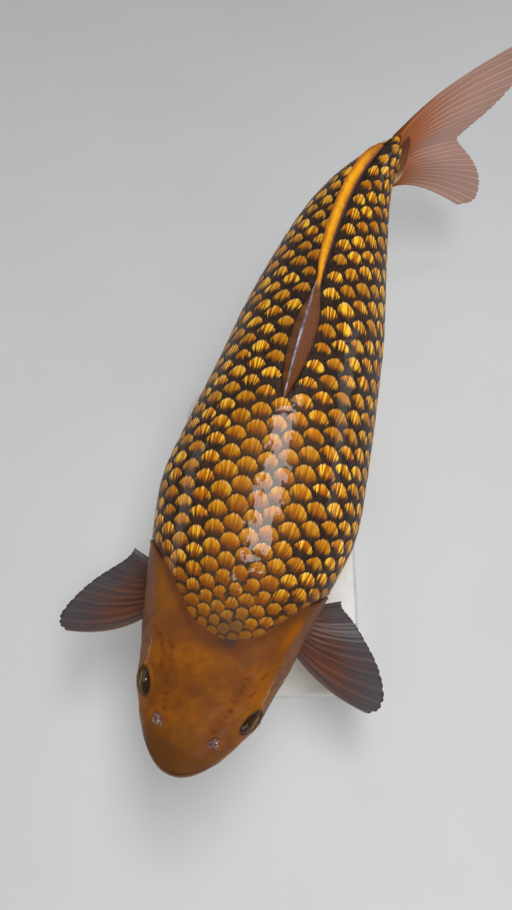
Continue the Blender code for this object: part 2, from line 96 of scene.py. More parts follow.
# By the angle of either side: where the gill cover ends, and where the snout folds over the upper lip.
gill_edge_at = curve({0: .162, 15: .172, 27: .190, 40: .216, 60: .245, 80: .266, 100: .276, 120: .262,
                      140: .233, 160: .207, 180: .198})
lip_fold_at = curve({0: .0040, 18: .0049, 36: .0084, 50: .0152, 59: .0235, 65: .0330})
# The angle at which the cheek turns under, at each t.
cheek_edge_at = curve({.034: 64, .060: 74, .085: 71, .110: 58, .140: 53, .170: 50, .210: 56, .250: 64})

STEPS = np.linspace(0, 1.3, 1301)
_ANGLES = np.radians(heading(STEPS))


def _added_up(step):
    return np.concatenate([[0], np.cumsum((step[1:] + step[:-1]) / 2 * np.diff(STEPS))]) * BODY_LENGTH


_PLAN_X, _PLAN_Y = _added_up(np.sin(_ANGLES)), _added_up(np.cos(_ANGLES))
_PLAN_X -= np.interp(BALANCE_T, STEPS, _PLAN_X)
_PLAN_Y -= np.interp(BALANCE_T, STEPS, _PLAN_Y)


def unit(vectors):
    return vectors / np.linalg.norm(vectors, axis=-1, keepdims=True)


def axis_point(t):
    """The point on the body's axis at t, which also runs on past the body, through the tail fin."""
    z = AXIS_HEIGHT + rise(np.minimum(t, 1)) * BODY_LENGTH
    return np.stack([np.interp(t, STEPS, _PLAN_X), np.interp(t, STEPS, _PLAN_Y), z + 0 * t], -1)


def body_directions(t):
    """Unit vectors at t: towards the tail, to the fish's left, and up, with the body's twist."""
    turn, lean = np.radians(heading(t)), np.radians(twist(t))
    zero = 0 * turn
    back = np.stack([np.sin(turn), np.cos(turn), zero], -1)
    level = np.stack([np.cos(turn), -np.sin(turn), zero], -1)
    up = np.stack([zero, zero, zero + 1], -1)
    c, s = np.cos(lean)[..., None], np.sin(lean)[..., None]
    return back, level * c - up * s, level * s + up * c


def rounded_end(t, reach):
    """How full the snout is: 0 at its tip and 1 from the distance reach on."""
    return np.sqrt(np.maximum(0, 1 - (1 - np.clip(t / reach, 0, 1)) ** 2))


def body_point(t, a):
    """The point on the body's surface at (t, a). Past t = 1 the body closes inside the tail fin's root."""
    t, a = np.broadcast_arrays(np.asarray(t, float), np.radians(np.asarray(a, float)))
    s, c = np.sin(a), np.cos(a)
    power = 2 / squareness(t)
    closing = np.sqrt(np.maximum(0, 1 - (np.maximum(t - 1, 0) / TAIL_ROUND) ** 2))
    side = half_width(t) * rounded_end(t, SNOUT_ROUND_SIDE) * BODY_LENGTH * closing
    height = np.where(c > 0, above(t), below(t)) * rounded_end(t, SNOUT_ROUND_TOP) * BODY_LENGTH
    x = side * np.sign(s) * np.abs(s) ** power
    z = height * np.sign(c) * np.abs(c) ** power * (0.90 + 0.10 * closing)
    _, left, up = body_directions(t)
    return axis_point(t) + left * x[..., None] + up * z[..., None]


def body_normal(t, a):
    """The unit vector out of the body's surface at (t, a)."""
    step = 1e-3
    t = np.asarray(t, float)
    along = body_point(t + step, a) - body_point(np.maximum(t - step, 2e-5), a)
    around = body_point(t, a + 1) - body_point(t, a - 1)
    normal = np.cross(around, along)
    normal = normal / (np.linalg.norm(normal, axis=-1)[..., None] + 1e-12)
    outward = np.sum(normal * (body_point(t, a) - axis_point(t)), -1)
    return normal * np.where(outward < 0, -1, 1)[..., None]


def folded(a):
    """The angle a of either side, from 0 on the back to 180 below."""
    return np.abs((np.asarray(a, float) + 180) % 360 - 180)


def past_gill(t, a):
    """How far (t, a) lies behind the edge of the gill cover, where the scales begin, in metres."""
    return (t - gill_edge_at(folded(a))) * BODY_LENGTH


def mouth_path(depth, setback, points=121):
    """The line where the snout is that far below its axis, from the right corner to the left one."""
    fullness = depth / (below(0) * BODY_LENGTH)
    front = SNOUT_ROUND_TOP * (1 - math.sqrt(1 - fullness ** 2))
    sweep = np.linspace(-1, 1, points)
    t = front + (MOUTH_CORNER - front) * sweep ** 2
    power = squareness(t)
    level = np.minimum(1, depth / (below(t) * rounded_end(t, SNOUT_ROUND_TOP) * BODY_LENGTH))
    x = half_width(t) * rounded_end(t, SNOUT_ROUND_SIDE) * BODY_LENGTH
    x = x * (1 - level ** power) ** (1 / power) * np.sign(sweep)
    back, left, up = body_directions(t)
    droop = depth + MOUTH_DROOP * np.abs(sweep) ** 3
    return axis_point(t) + left * x[:, None] - up * droop[:, None] + back * setback


# ---- meshes ---------------------------------------------------------------------------------------
def blend_in(x, low, high):
    """0 below low, 1 above high and smooth between; the other way round where low is above high."""
    s = np.clip((np.asarray(x, float) - low) / (high - low), 0, 1)
    return s * s * (3 - 2 * s)


def hump(x, width):
    return np.exp(-(x / width) ** 2)


def ridges(x, parts):
    """Ridges and furrows across the distance x, each given as its height, its place and its width."""
    return sum(height * hump(x - place, width) for height, place, width in parts)


def triple(x, y, z):
    return np.stack(np.broadcast_arrays(x, y, z), -1)


def grid_quads(rows, columns, closed=False):
    """The quads of a grid of points, closed round its columns or not."""
    i, j = np.meshgrid(np.arange(rows - 1), np.arange(columns if closed else columns - 1), indexing="ij")
    k = (j + 1) % columns
    quads = np.stack([i * columns + j, i * columns + k, (i + 1) * columns + k, (i + 1) * columns + j], -1)
    return quads.reshape(-1, 4)


def closed_faces(rows, columns):
    """The faces of a grid closed round its columns, and at each end by one more point after the grid."""
    ring = np.arange(columns)
    after = (ring + 1) % columns
    start, last = np.full(columns, rows * columns), (rows - 1) * columns
    return [grid_quads(rows, columns, closed=True), np.stack([start, after, ring], -1),
            np.stack([start + 1, last + ring, last + after], -1)]


def rim_of(rows, columns):
    """The points round the edge of a grid, in order."""
    top, left = np.arange(columns), np.arange(rows) * columns
    return np.concatenate([top, left[1:] + columns - 1, (rows - 1) * columns + top[-2::-1], left[-2:0:-1]])


def plate_faces(rows, columns):
    """The faces of a closed plate between two grids of points, the second after the first."""
    under = rows * columns
    top, rim = grid_quads(rows, columns), rim_of(rows, columns)
    after = np.roll(rim, -1)
    return [top, top[:, ::-1] + under, np.stack([after, rim, under + rim, under + after], -1)]


class Gathered:
    """Points with what they carry, and faces with their kind, for one mesh."""

    def __init__(self):
        self.points, self.fields, self.faces, self.kinds, self.count = [], {}, [], [], 0

    def add(self, points, faces, kind, **fields):
        points = np.asarray(points, float).reshape(-1, 3)
        for group in faces:
            self.faces.append(group + self.count)
            self.kinds.append(np.full(len(group), kind))
        for name, values in fields.items():
            values = np.broadcast_to(np.asarray(values, float).reshape(-1, 3), points.shape)
            self.fields.setdefault(name, []).append((self.count, values))
        self.points.append(points)
        self.count += len(points)

    def made(self, name, materials, slot):
        """The object. The field "unwrap" becomes its UV map, and each other one an attribute."""
        mesh = bpy.data.meshes.new(name)
        faces = [face for group in self.faces for face in group.tolist()]
        mesh.from_pydata(np.concatenate(self.points), [], faces, shade_flat=False)
        for surface in materials:
            mesh.materials.append(surface)
        mesh.polygons.foreach_set("material_index", np.concatenate(self.kinds))
        corners = np.concatenate([group.ravel() for group in self.faces])
        for field, parts in self.fields.items():
            values = np.zeros((self.count, 3))
            for start, part in parts:
                values[start:start + len(part)] = part
            if field == "unwrap":
                mesh.uv_layers.new(name="OFBake").uv.foreach_set("vector", values[corners, :2].ravel())
            else:
                mesh.attributes.new(field, "FLOAT_VECTOR", "POINT").data.foreach_set("vector", values.ravel())
        made = bpy.data.objects.new(name, mesh)
        bpy.context.scene.collection.objects.link(made)
        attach(made, "root")
        return made


def unwrap(t, a):
    """A place on the flattened skin: t across and a upward, opened along the belly."""
    return 0.02 + 0.96 * np.asarray(t) / 1.05, 0.5 + 0.48 * np.asarray(a) / 180


# ---- skin -----------------------------------------------------------------------------------------
AROUND = 360                 # points round the body
COAT_DEPTH = 0.0014          # how far the skin lies inside the scales
HEAD_END = 0.30              # the head's relief ends before this t
SKIN_SHEET, FIN_SHEET, BACK_FIN_SHEET, FLESH = range(4)      # the materials of the skin, in order
MARKS = "eye nostril lip slit pore gill groove seam edge amber dull under".split()
# The eye socket: how deep it is, from where to where it rises, and what is round it (see ridges).
SOCKET_DEPTH, SOCKET_FLOOR, SOCKET_RIM, SOCKET_REACH = .0046, .0056, .0080, .035
EYE_RINGS = (.0007, .0094, .0018), (-.0006, .0077, .0006), (-.0002, .0130, .0018)
NOSTRIL_REACH, NOSTRIL_HEIGHT = .012, .0013
FRONT_PIT, REAR_PIT = .0022, .0030
# Each of the mouth's lines: how far below the axis it is, and how far back from the snout.
UPPER_LIP, LOWER_LIP, SLIT = (.0045, .0014), (.0112, .0030), (.0079, .0018)
LIP_FOLD_END = 66
GILL_SLITS = (-.0024, .0005, .0009), (-.0004, -.0052, .0009)
# Furrows of the cheek, the jaw and the throat, each with its path over the left side, depth and width.
FURROWS = (
    (((.112, 78), (.090, 88), (.060, 92), (.036, 88)), .0006, .0013),
    (((.030, 104), (.048, 118), (.075, 128), (.120, 134), (.165, 138)), .0009, .0014),
    (((.040, 128), (.070, 144), (.120, 152), (.185, 158)), .0007, .0013),
    (((.072, 40), (.060, 52), (.056, 64), (.050, 76)), .0003, .0013),
    (((.128, 50), (.140, 62), (.138, 80), (.120, 96), (.095, 104)), .0005, .0015))
# Rows of small pores of the sense line, over the brow and back to the nape, with how many each has.
PORE_ROWS = (
    (((.058, 20), (.075, 23), (.100, 23.5), (.125, 25), (.148, 31)), 17),
    (((.100, 38), (.118, 36), (.135, 37), (.150, 43)), 9),
    (((.150, 43), (.160, 60), (.165, 90), (.150, 112), (.110, 122)), 16),
    (((.075, 74), (.090, 80), (.110, 78)), 7))
AMBER_STRIPE = ((.222, 56), (.192, 48), (.160, 40))
DULL_PLACE = (0.166, 26)
# Distances behind the gill edge, in metres, that get a ring of points each, and shares of the tail's round.
BEHIND_GILL = np.array([.0001, .0003, .0006, .0010, .0015, .0022, .0032, .0046, .0065, .0090])
BEFORE_GILL = [0.93, 0.944, 0.956, 0.966, 0.974, 0.981, 0.986, 0.990, 0.993, 0.9955, 0.9975, 0.999]
TAIL_SHARES = np.array([.15, .3, .45, .6, .72, .82, .9, .95, .98, .995])


def least_distance(points, path):
    """Each point's distance from a path, and the share of the path at which it is nearest."""
    best = np.full(points.shape[:-1], 9.0)
    share = np.zeros(points.shape[:-1])
    for k, here in enumerate(path):
        d = np.linalg.norm(points - here, axis=-1)
        share = np.where(d < best, k / (len(path) - 1), share)
        best = np.minimum(best, d)
    return best, share


def surface_path(places, side, points=60):
    """A smooth path over one side of the body through places (t, a)."""
    steps = np.linspace(0, len(places) - 1, points)
    t, a = (curve(dict(enumerate(values)))(steps) for values in zip(*places))
    return body_point(t, a * side)


def fading(share, first, last):
    """1 along a path, fading out over its first share and from its last one on."""
    return blend_in(share, 0, first) * blend_in(share, 1, last)


def round_spot(points, t, a, width):
    return hump(np.linalg.norm(points - body_point(t, a), axis=-1), width)


def laid_flat(points, t, a):
    """How far behind the place (t, a) the points lie on the skin, how far beside it, and how far off."""
    outward, back = body_normal(t, a), body_directions(t)[0]
    offset = points - body_point(t, a)
    flat = offset - outward * np.sum(offset * outward, -1)[..., None]
    behind = np.sum(flat * back, -1)
    beside = np.linalg.norm(flat - back * behind[..., None], axis=-1)
    return behind, beside, np.linalg.norm(offset, axis=-1)


def body_rings():
    """t and a of the skin's points, ring by ring: dense on the head and beside the gill edge."""
    a = (np.arange(AROUND) * 360 / AROUND + 180) % 360 - 180
    edge = gill_edge_at(folded(a))[None]
    head = np.concatenate([np.linspace(0.006, 0.95, 190) ** 1.7, BEFORE_GILL])[:, None] * edge
    past = edge + BEHIND_GILL[:, None] / BODY_LENGTH
    body = past[-1:] + (1 - past[-1:]) * np.linspace(0, 1, 120)[1:, None]
    end = 1 + TAIL_ROUND * TAIL_SHARES[:, None] + 0 * edge
    t = np.concatenate([head, past, body, end])
    return t, np.broadcast_to(a, t.shape)


def eye_and_nostril(points, out, marks, side):
    """The eye socket, a dip with a lid fold and a furrow round it, and the nostril, a mound with two pits."""
    t, a = EYE_PLACE
    behind, beside, off = laid_flat(points, t, a * side)
    r = np.hypot(behind / EYE_STRETCH, beside * 1.10 / EYE_NARROWING)
    near = off < SOCKET_REACH
    dip = -SOCKET_DEPTH * (1 - blend_in(r, SOCKET_FLOOR, SOCKET_RIM))
    out += np.where(near, dip + ridges(r, EYE_RINGS), 0)
    marks["eye"] += np.where(near, hump(r, 0.0125), 0)
    # Painted shade in the fold round the eye.
    marks["seam"] += np.where(near, hump(r - 0.0086, 0.0012), 0)
    brow, cheek = (t + 0.006, (a - 17) * side), (t + 0.002, (a + 22) * side)
    out += 0.0006 * round_spot(points, *brow, 0.0125) + 0.0019 * round_spot(points, *cheek, 0.0120)

    t, a = NOSTRIL_PLACE
    behind, beside, off = laid_flat(points, t, a * side)
    near = off < NOSTRIL_REACH
    mound = hump(np.hypot(behind / 1.6, beside), 0.0027)
    pits = FRONT_PIT * hump(np.hypot(behind + 0.0034, beside), 0.0011)
    pits = pits + REAR_PIT * hump(np.hypot(behind - 0.0024, beside * 0.8), 0.0015)
    out += np.where(near, NOSTRIL_HEIGHT * mound - pits, 0)
    marks["nostril"] += np.where(near, hump(np.hypot(behind / 1.5, beside), 0.0033), 0)
    # Painted shade in the nostril's pits.
    marks["slit"] += np.where(near, pits / 0.0032, 0)


def furrows_and_pores(points, out, marks, side, scatter):
    for places, depth, width in FURROWS:
        d, share = least_distance(points, surface_path(places, side))
        ends = fading(share, .12, .85)
        out -= depth * hump(d, width) * ends
        # Painted shade in the furrow.
        marks["groove"] += hump(d, width * 1.2) * ends
    for places, count in PORE_ROWS:
        path = surface_path(places, side, count)
        path = path + scatter.normal(0, 0.0009, path.shape)
        for k, here in enumerate(path):
            r = np.linalg.norm(points - here, axis=-1)
            size = 0.0006 + 0.0007 * ((k * 7) % 5) / 4
            out -= 0.00018 * hump(r, size)
            marks["pore"] += hump(r, size * 1.45) * (0.6 + 0.4 * ((k * 5) % 4) / 3)


def lips(points, out, marks, t, angle):
    """Two soft rolls with the mouth between them, a crease above and below, and the snout's fold over them."""
    to_upper, share = least_distance(points, mouth_path(*UPPER_LIP))
    to_lower, to_slit = (least_distance(points, mouth_path(*line))[0] for line in (LOWER_LIP, SLIT))
    fullness = 1 - 0.55 * np.abs(2 * share - 1) ** 3
    out += fullness * (0.0008 * hump(to_upper, 0.0024) + 0.0010 * hump(to_lower, 0.0024))
    out -= 0.0034 * hump(to_slit, 0.0008)
    nearest, outside = np.minimum(to_upper, to_lower), to_slit > 0.0035
    out -= 0.0011 * hump(nearest - 0.0050, 0.0009) * outside
    # Painted shade in the mouth's slit and in the crease outside the lips.
    marks["slit"] += hump(to_slit, 0.0011) + hump(nearest - 0.0048, 0.0011) * outside

    turns = np.linspace(-65, 65, 161)
    d, share = least_distance(points, body_point(lip_fold_at(np.abs(turns)), turns))
    beyond = (t < lip_fold_at(angle)) & (angle < LIP_FOLD_END)
    ends = fading(share, 0.10, 0.90)
    out += 0.0004 * hump(d - 0.0022, 0.0018) * ends * beyond
    out += 0.0005 * hump(d - 0.0016, 0.0009) * ends * ~beyond
    out -= 0.0011 * hump(d, 0.0008) * ends
    # Painted shade along the snout's fold over the lip.
    marks["seam"] += 1.2 * hump(d, 0.0010) * (0.25 + 0.75 * ends)
    marks["lip"] = np.maximum(hump(nearest, 0.0030), blend_in(d, 0, 0.0012) * beyond)


def gill_cover(out, marks, t, angle, past):
    """The gill cover swells a little towards its edge, ends over a slit, and has a ribbed plate in it."""
    cover = blend_in(angle, 44, 66) * blend_in(angle, 170, 150)
    swell = 0.0011 * np.exp(np.minimum(past, 0) / 0.012) * blend_in(past, 0.0, -0.0011)
    out += np.where(past < 0, swell, 0) * cover
    out += ridges(past, GILL_SLITS) * cover
    # Painted shade in the slit under the gill cover's edge.
    marks["gill"] = hump(past - 0.0002, 0.0014) * cover
    v = np.clip((angle - 50) / 100, 0, 1)
    on_plate = (t - (0.150 + 0.030 * np.abs(2 * v - 1) ** 2.5)) * BODY_LENGTH
    plate = blend_in(angle, 46, 58) * blend_in(angle, 156, 144)
    step = 0.0007 * hump(on_plate, 0.0013) + 0.0005 * blend_in(on_plate, 0.002, -0.006) * (on_plate > -0.03)
    out -= step * plate
    # Painted shade in the groove round the gill plate.
    marks["groove"] += hump(on_plate, 0.0015) * plate * 0.8
    # Fine ribs that spread from the plate's upper front corner.
    spread = np.arctan2((angle - 56) * 0.0021, np.maximum(on_plate, 1e-4) + 0.004)
    ribbed = blend_in(on_plate, 0.002, 0.010) * blend_in(past, -0.002, -0.008)
    out += 0.00012 * np.sin(spread * 46) * plate * ribbed


def head_relief(points, t, a):
    """How far the head's skin stands out of the plain body surface, and its marks, at each point."""
    angle, past = folded(a), past_gill(t, a)
    out = np.zeros(t.shape)
    marks = {name: np.zeros(t.shape) for name in MARKS}
    scatter = np.random.default_rng(5)
    for side in (1, -1):
        eye_and_nostril(points, out, marks, side)
        furrows_and_pores(points, out, marks, side, scatter)
    lips(points, out, marks, t, angle)
    gill_cover(out, marks, t, angle, past)
    # The cheek's edge, from the corner of the mouth back under the eye, a low ridge given a painted highlight, an
    # amber stripe above it on the gill cover and a dull place each side of the nape.
    for side in (1, -1):
        along = np.linspace(0.034, 0.158, 121)
        d, share = least_distance(points, body_point(along, cheek_edge_at(along) * side))
        ends = fading(share, .15, .75)
        out += 0.0004 * hump(d, 0.0010) * ends
        marks["edge"] += hump(d, 0.0008) * ends
        d, share = least_distance(points, surface_path(AMBER_STRIPE, side))
        marks["amber"] += hump(d, 0.0056) * fading(share, 0.3, 0.5)
        marks["dull"] += round_spot(points, DULL_PLACE[0], DULL_PLACE[1] * side, 0.012)
    # Below the cheek's edge, where the lower cheek gets painted shade.
    marks["under"] = blend_in(angle - cheek_edge_at(t), -1.0, 4.0) * blend_in(t, 0.028, 0.040)
    # The furrow over the gill cover, between it and the nape.
    out -= 0.0006 * hump(angle - 43, 7.0) * blend_in(t, 0.135, 0.170) * blend_in(past, 0.001, -0.004)
    # The skull: a low middle ridge with a hollow each side, and the step down to the snout.
    skull = blend_in(t, 0.050, 0.075) * blend_in(t, 0.160, 0.130)
    out += (0.0006 * hump(angle, 7) - 0.0008 * hump(angle - 18, 9)) * skull
    out -= 0.0006 * hump((t - 0.047) * BODY_LENGTH, 0.005) * blend_in(angle, 50, 20)
    # Uneven flesh.
    x, y, z = np.moveaxis(points, -1, 0)
    waves = np.sin(x * 410 + 1.3 * np.sin(y * 170)) * np.sin(y * 330 + 2.1 * np.sin(z * 190)) * np.sin(z * 370)
    out += 0.00022 * waves * blend_in(t, 0.010, 0.030)
    return out, marks


def skin_body(gathered):
    t, a = body_rings()
    points = body_point(t, a)
    rows = int(np.max(np.nonzero(t.min(1) < HEAD_END)[0])) + 1
    relief = np.zeros(t.shape)
    relief[:rows], found = head_relief(points[:rows], t[:rows], a[:rows])
    marks = {name: np.zeros(t.shape) for name in found}
    for name, values in found.items():
        marks[name][:rows] = np.clip(values, 0, 1)
    past = past_gill(t, a)
    scaled = blend_in(past, 0.000, 0.009) * blend_in(t, 0.992, 0.975)
    points = points + body_normal(t, a) * (relief - COAT_DEPTH * scaled)[..., None]
    quads, *ends = closed_faces(*t.shape)

    def with_ends(x, y, z):
        grid = triple(x, y, z).reshape(-1, 3)
        return np.concatenate([grid, grid[:1], grid[-1:]])

    gathered.add(np.concatenate([points.reshape(-1, 3), [points[0].mean(0), points[-1].mean(0)]]),
                 [quads[:, ::-1], *ends], SKIN_SHEET,
                 place=with_ends(t, a / 180, scaled),
                 marks=with_ends(marks["eye"], marks["nostril"], marks["lip"]),
                 lines=with_ends(marks["slit"] + marks["gill"], marks["pore"], marks["groove"]),
                 border=with_ends(blend_in(past, -0.012, 0.001), marks["seam"], marks["edge"]),
                 tints=with_ends(marks["amber"], marks["dull"], marks["under"]),
                 unwrap=with_ends(*unwrap(t, a), 0))


# ---- fins -----------------------------------------------------------------------------------------
# The left and the right pectoral fin: side, reach, how far it points forward, half its fan and its pitch in
# degrees, and how far its tip is swept back.
PECTORAL_ROOT = (0.231, 142), (0.267, 144)
PECTORALS = (1, .130, .32, 28.5, 39, .36), (-1, .112, .78, 27, 10, .49)
PELVIC_ROOT = (0.475, 152), (0.505, 156)
BACK_FIN_START, BACK_FIN_END = 0.462, 0.962
ANAL_START, ANAL_SPAN, ANAL_LENGTH, ANAL_DROOP = 0.725, 0.070, 0.070, 0.012
TAIL_MIDDLE, TAIL_LOBE, TAIL_SPREAD = 0.066, 0.122, 34       # its shortest and longest ray, and its half angle
PECTORAL_RAYS, PELVIC_RAYS, ANAL_RAYS, TAIL_RAYS = 13, 9, 8, 24


def rays(v, u, count, split=0.45):
    """How much of a ray there is at each place of a fin, 0 to 1, each ray splitting in two further out."""
    single = np.abs(np.cos(math.pi * count * v)) ** 1.8
    double = np.abs(np.cos(2 * math.pi * count * v + math.pi / 2)) ** 1.4
    return single + (double - single) * 0.6 * blend_in(u, split, split + 0.35)


def frayed(v, count, depth):
    """The length of a fin at v, a little shorter between its rays."""
    return 1 - depth * (1 - rays(v, 0.9 + 0 * v, count))


def laid_out(root, direction, length, u):
    """The points at the shares u of lines from root."""
    return root[:, None] + direction[:, None] * (length[:, None] * u)[..., None]


def fin(gathered, sheet, thickness, v, u, count, tail=0, split=0.45):
    """A fin over a grid of points, with raised rays along its rows."""
    normal = unit(np.cross(np.gradient(sheet, axis=1), np.gradient(sheet, axis=0)))
    v, u = v[:, None], u[None]
    ray = rays(v, u, count, split)
    joints = 0.98 + 0.02 * np.cos(u * 130)
    half = thickness[None] / 2 * (0.52 + 0.55 * ray * joints)
    offset = normal * half[..., None]
    gathered.add(np.stack([sheet + offset, sheet - offset]), plate_faces(*sheet.shape[:2]), FIN_SHEET,
                 fin=np.stack([triple(u, v * count, ray)] * 2),
                 which=np.stack([triple(tail, v + 0 * u, 0)] * 2))


def paired_fin(gathered, root, side, reach, lie, fan, pitch, sweep, count, rows=113, columns=49):
    """A pectoral or pelvic fin. lie says how far its middle ray points outward, forward and up."""
    (t0, a0), (t1, a1) = root
    v, u = np.linspace(0, 1, rows), np.linspace(-0.02, 1, columns)
    t, a = t0 + (t1 - t0) * v, (a0 + (a1 - a0) * v) * side
    start = body_point(t, a) + body_normal(t, a) * 0.0004
    back, left, up = body_directions((t0 + t1) / 2)
    middle = unit(left * side * lie[0] - back * lie[1] + up * lie[2])
    rearward = back * math.cos(math.radians(pitch)) + up * math.sin(math.radians(pitch))
    rearward = unit(rearward - middle * rearward.dot(middle))
    turn = (np.radians(fan) * (2 * v - 1))[:, None]
    tip = 1 - TIP_TRIM * (1 - np.minimum(v / 0.20, 1)) ** 2.2
    length = reach * tip * (REAR_RAY + (1 - REAR_RAY) * (1 - v ** 1.08) ** 1.94) * frayed(v, count, 0.020)
    sheet = laid_out(start, middle * np.cos(turn) + rearward * np.sin(turn), length, u)
    sheet = sheet + rearward * (sweep * length[:, None] * u ** 2)[..., None]
    curl = np.cross(middle, rearward)
    curl = curl * math.copysign(1, curl[2])
    bent = 0.010 * np.sin(v * 15.0 + 0.8) - 0.06 * np.sin(math.pi * v)
    sheet = sheet + curl * (bent[:, None] * u ** 2 * reach)[..., None]
    fin(gathered, sheet, FIN_EDGE + 0.0022 * (1 - u) ** 2, v, u, count)


def paired_fins(gathered):
    for side, reach, forward, fan, pitch, sweep in PECTORALS:
        paired_fin(gathered, PECTORAL_ROOT, side, reach, (0.94, forward, -0.10), fan, pitch, sweep, PECTORAL_RAYS)
    for side in (1, -1):
        paired_fin(gathered, PELVIC_ROOT, side, 0.070, (0.62, -0.60, -0.42), 24, 19, 0.16, PELVIC_RAYS,
                   rows=73, columns=37)


def dorsal_fin(gathered):
    """The back fin, half folded: a low wedge in front that leans to the right behind."""
    start, end, rows, columns = BACK_FIN_START, BACK_FIN_END, 241, 25
    height = curve({start: .0015, .50: .013, .555: .020, .61: .014, .645: .0055, .665: .0040, .70: .0064,
                    .77: .0090, .88: .0098, .93: .0085, end: .0035})
    root_half = curve({start: .0012, .50: .0064, .55: .0094, .59: .0086, .63: .0042, .655: .0018, .70: .0014,
                       end: .0009})
    lean = curve({start: 0, .60: 3, .65: 25, .69: 60, .86: 64, end: 58})
    lift = curve({start: GAP * 2, .83: GAP * 2, .89: .0016, end: .0034})
    t, u = np.linspace(start, end, rows), np.linspace(-0.10, 1, columns)
    _, left, up = body_directions(t)
    tilt = np.radians(lean(t))[:, None]
    root = body_point(t, 0) + up * (lift(t)[:, None] + root_half(t)[:, None] * np.sin(tilt) + 0.0006)
    middle = laid_out(root, up * np.cos(tilt) - left * np.sin(tilt), height(t) * frayed(t * 2, 26, 0.02), u)
    half = FIN_EDGE / 2 + (root_half(t) - FIN_EDGE / 2)[:, None] * (1 - np.maximum(u, 0)) ** 1.1
    laid = (t[:, None] - 0.13 * u) * 2
    ray = rays(laid, 0 * u, 20)
    across = left * np.cos(tilt) + up * np.sin(tilt)
    offset = across[:, None] * (half * (0.94 + 0.07 * ray))[..., None]
    outer = triple(2, t[:, None] + 0 * u, 0)
    gathered.add(np.stack([middle + offset, middle - offset]), plate_faces(rows, columns), BACK_FIN_SHEET,
                 fin=np.stack([triple(u, laid, ray)] * 2), which=np.stack([outer, outer + [0, 0, 1]]))


def tail_fin(gathered):
    """The forked tail fin, in one, on the bent line of the body's axis."""
    w, u = np.linspace(-1, 1, 193), np.linspace(-0.16, 1, 65)
    v = np.abs(w)
    start = v * np.where(w > 0, above(1.0), below(1.0)) * BODY_LENGTH * 0.94
    length = TAIL_MIDDLE + (TAIL_LOBE - TAIL_MIDDLE) * np.sin(v * math.pi / 2) ** 1.5
    length = length * (1 - 2.4 * np.maximum(0, v - 0.86) ** 1.5) * frayed(w * 0.5, TAIL_RAYS, 0.018)
    turn = np.radians(TAIL_SPREAD * v ** 1.15)[:, None]
    reach = length[:, None] * u
    z = np.sign(w)[:, None] * (start[:, None] + reach * np.sin(turn) + 0.05 * v[:, None] * reach * np.abs(u))
    t = 1 + (reach * np.cos(turn) + 0.0008) / BODY_LENGTH
    _, left, up = body_directions(t)
    wave = 0.003 * np.sin(u * math.pi) * np.sin(v[:, None] * math.pi * 1.5)
    sheet = axis_point(t) + up * z[..., None] + left * wave[..., None]
    thickness = FIN_EDGE + 0.009 * (1 - np.maximum(u, 0)) ** 4
    fin(gathered, sheet, thickness, w * 0.5, u, TAIL_RAYS, tail=1, split=0.35)


def anal_fin(gathered):
    v, u = np.linspace(0, 1, 65), np.linspace(-0.03, 1, 41)
    t = ANAL_START + ANAL_SPAN * v
    back, _, up = body_directions(t)
    turn = np.radians(38 - 22 * v)[:, None]
    length = ANAL_LENGTH * (1 - 0.45 * v) * frayed(v, ANAL_RAYS, 0.02)
    sheet = laid_out(body_point(t, 180) - [0, 0, 0.0002], back * np.cos(turn) - up * np.sin(turn), length, u)
    droop = (1 - v)[:, None] * np.sin(np.maximum(u, 0) * math.pi / 2)
    sheet = sheet - [0, 0, ANAL_DROOP] * droop[..., None]
    fin(gathered, sheet, FIN_EDGE + 0.0024 * (1 - u) ** 2, v, u, ANAL_RAYS)


# ---- small soft parts -----------------------------------------------------------------------------
# Each pair of barbels: the place of its root, its length and its radius.
BARBELS = (0.031, 116, 0.010, 0.0009), (0.042, 122, 0.021, 0.0012)


def tube(gathered, path, radii, kind, sides=16):
    """A round tapering solid along a path, with rounded ends."""
    ahead = unit(np.gradient(path, axis=0))
    w = (np.arange(sides) * 2 * math.pi / sides)[:, None]
    aside = np.array([0.3, 0.2, 0.9])
    rings = []
    for here, forward, radius in zip(path, ahead, radii):
        aside = unit(aside - forward * aside.dot(forward))
        rings.append(here + radius * (aside * np.cos(w) + np.cross(forward, aside) * np.sin(w)))
    ends = [path[0] - ahead[0] * radii[0] * 0.6, path[-1] + ahead[-1] * radii[-1] * 0.8]
    gathered.add(np.concatenate([*rings, ends]), closed_faces(len(rings), sides), kind)


def barbels(gathered):
    for t, angle, length, radius in BARBELS:
        for side in (1, -1):
            outward = body_normal(t, side * angle)
            root = body_point(t, side * angle) - outward * radius
            back, _, up = body_directions(t)
            share = np.linspace(-0.12, 1, 26)[:, None]
            path = root + length * (share * (outward * 0.12 - up * 0.90) + share ** 2 * back * 0.60)
            swell = 1 + 0.3 * hump(np.minimum(share[:, 0], 0.5) + 0.10, 0.12)
            tube(gathered, path, radius * (1 - 0.55 * np.maximum(share[:, 0], 0)) * swell, FLESH)


def nostril_flaps(gathered):
    """A rounded lump of flesh over each nostril, lying back over its rear opening."""
    t, angle = NOSTRIL_PLACE
    for side in (1, -1):
        outward, back = body_normal(t, side * angle), body_directions(t)[0]
        behind = unit(back - outward * back.dot(outward))
        u = np.linspace(-1, 1, 33)[None, :, None]
        v = np.linspace(0, 1, 25)[:, None, None]
        root = body_point(t, side * angle) - behind * 0.0034 - outward * 0.0004
        narrowing = np.sqrt(np.maximum(0.02, 1 - (0.98 * v) ** 2.4))
        notch = 1 - 0.10 * hump(u - 0.2, 0.45) * blend_in(v, 0.4, 1)
        seat = root + np.cross(outward, behind) * u * 0.0041 * narrowing + behind * v * 0.0086 * notch
        height = 0.0032 * np.sin(v * 2.6) * (1.02 - u ** 2) ** 0.5 + 0.0003 * np.sin(u * 5 + v * 4)
        gathered.add(np.stack([seat + outward * height, seat - outward * 0.0008]), plate_faces(25, 33), FLESH)


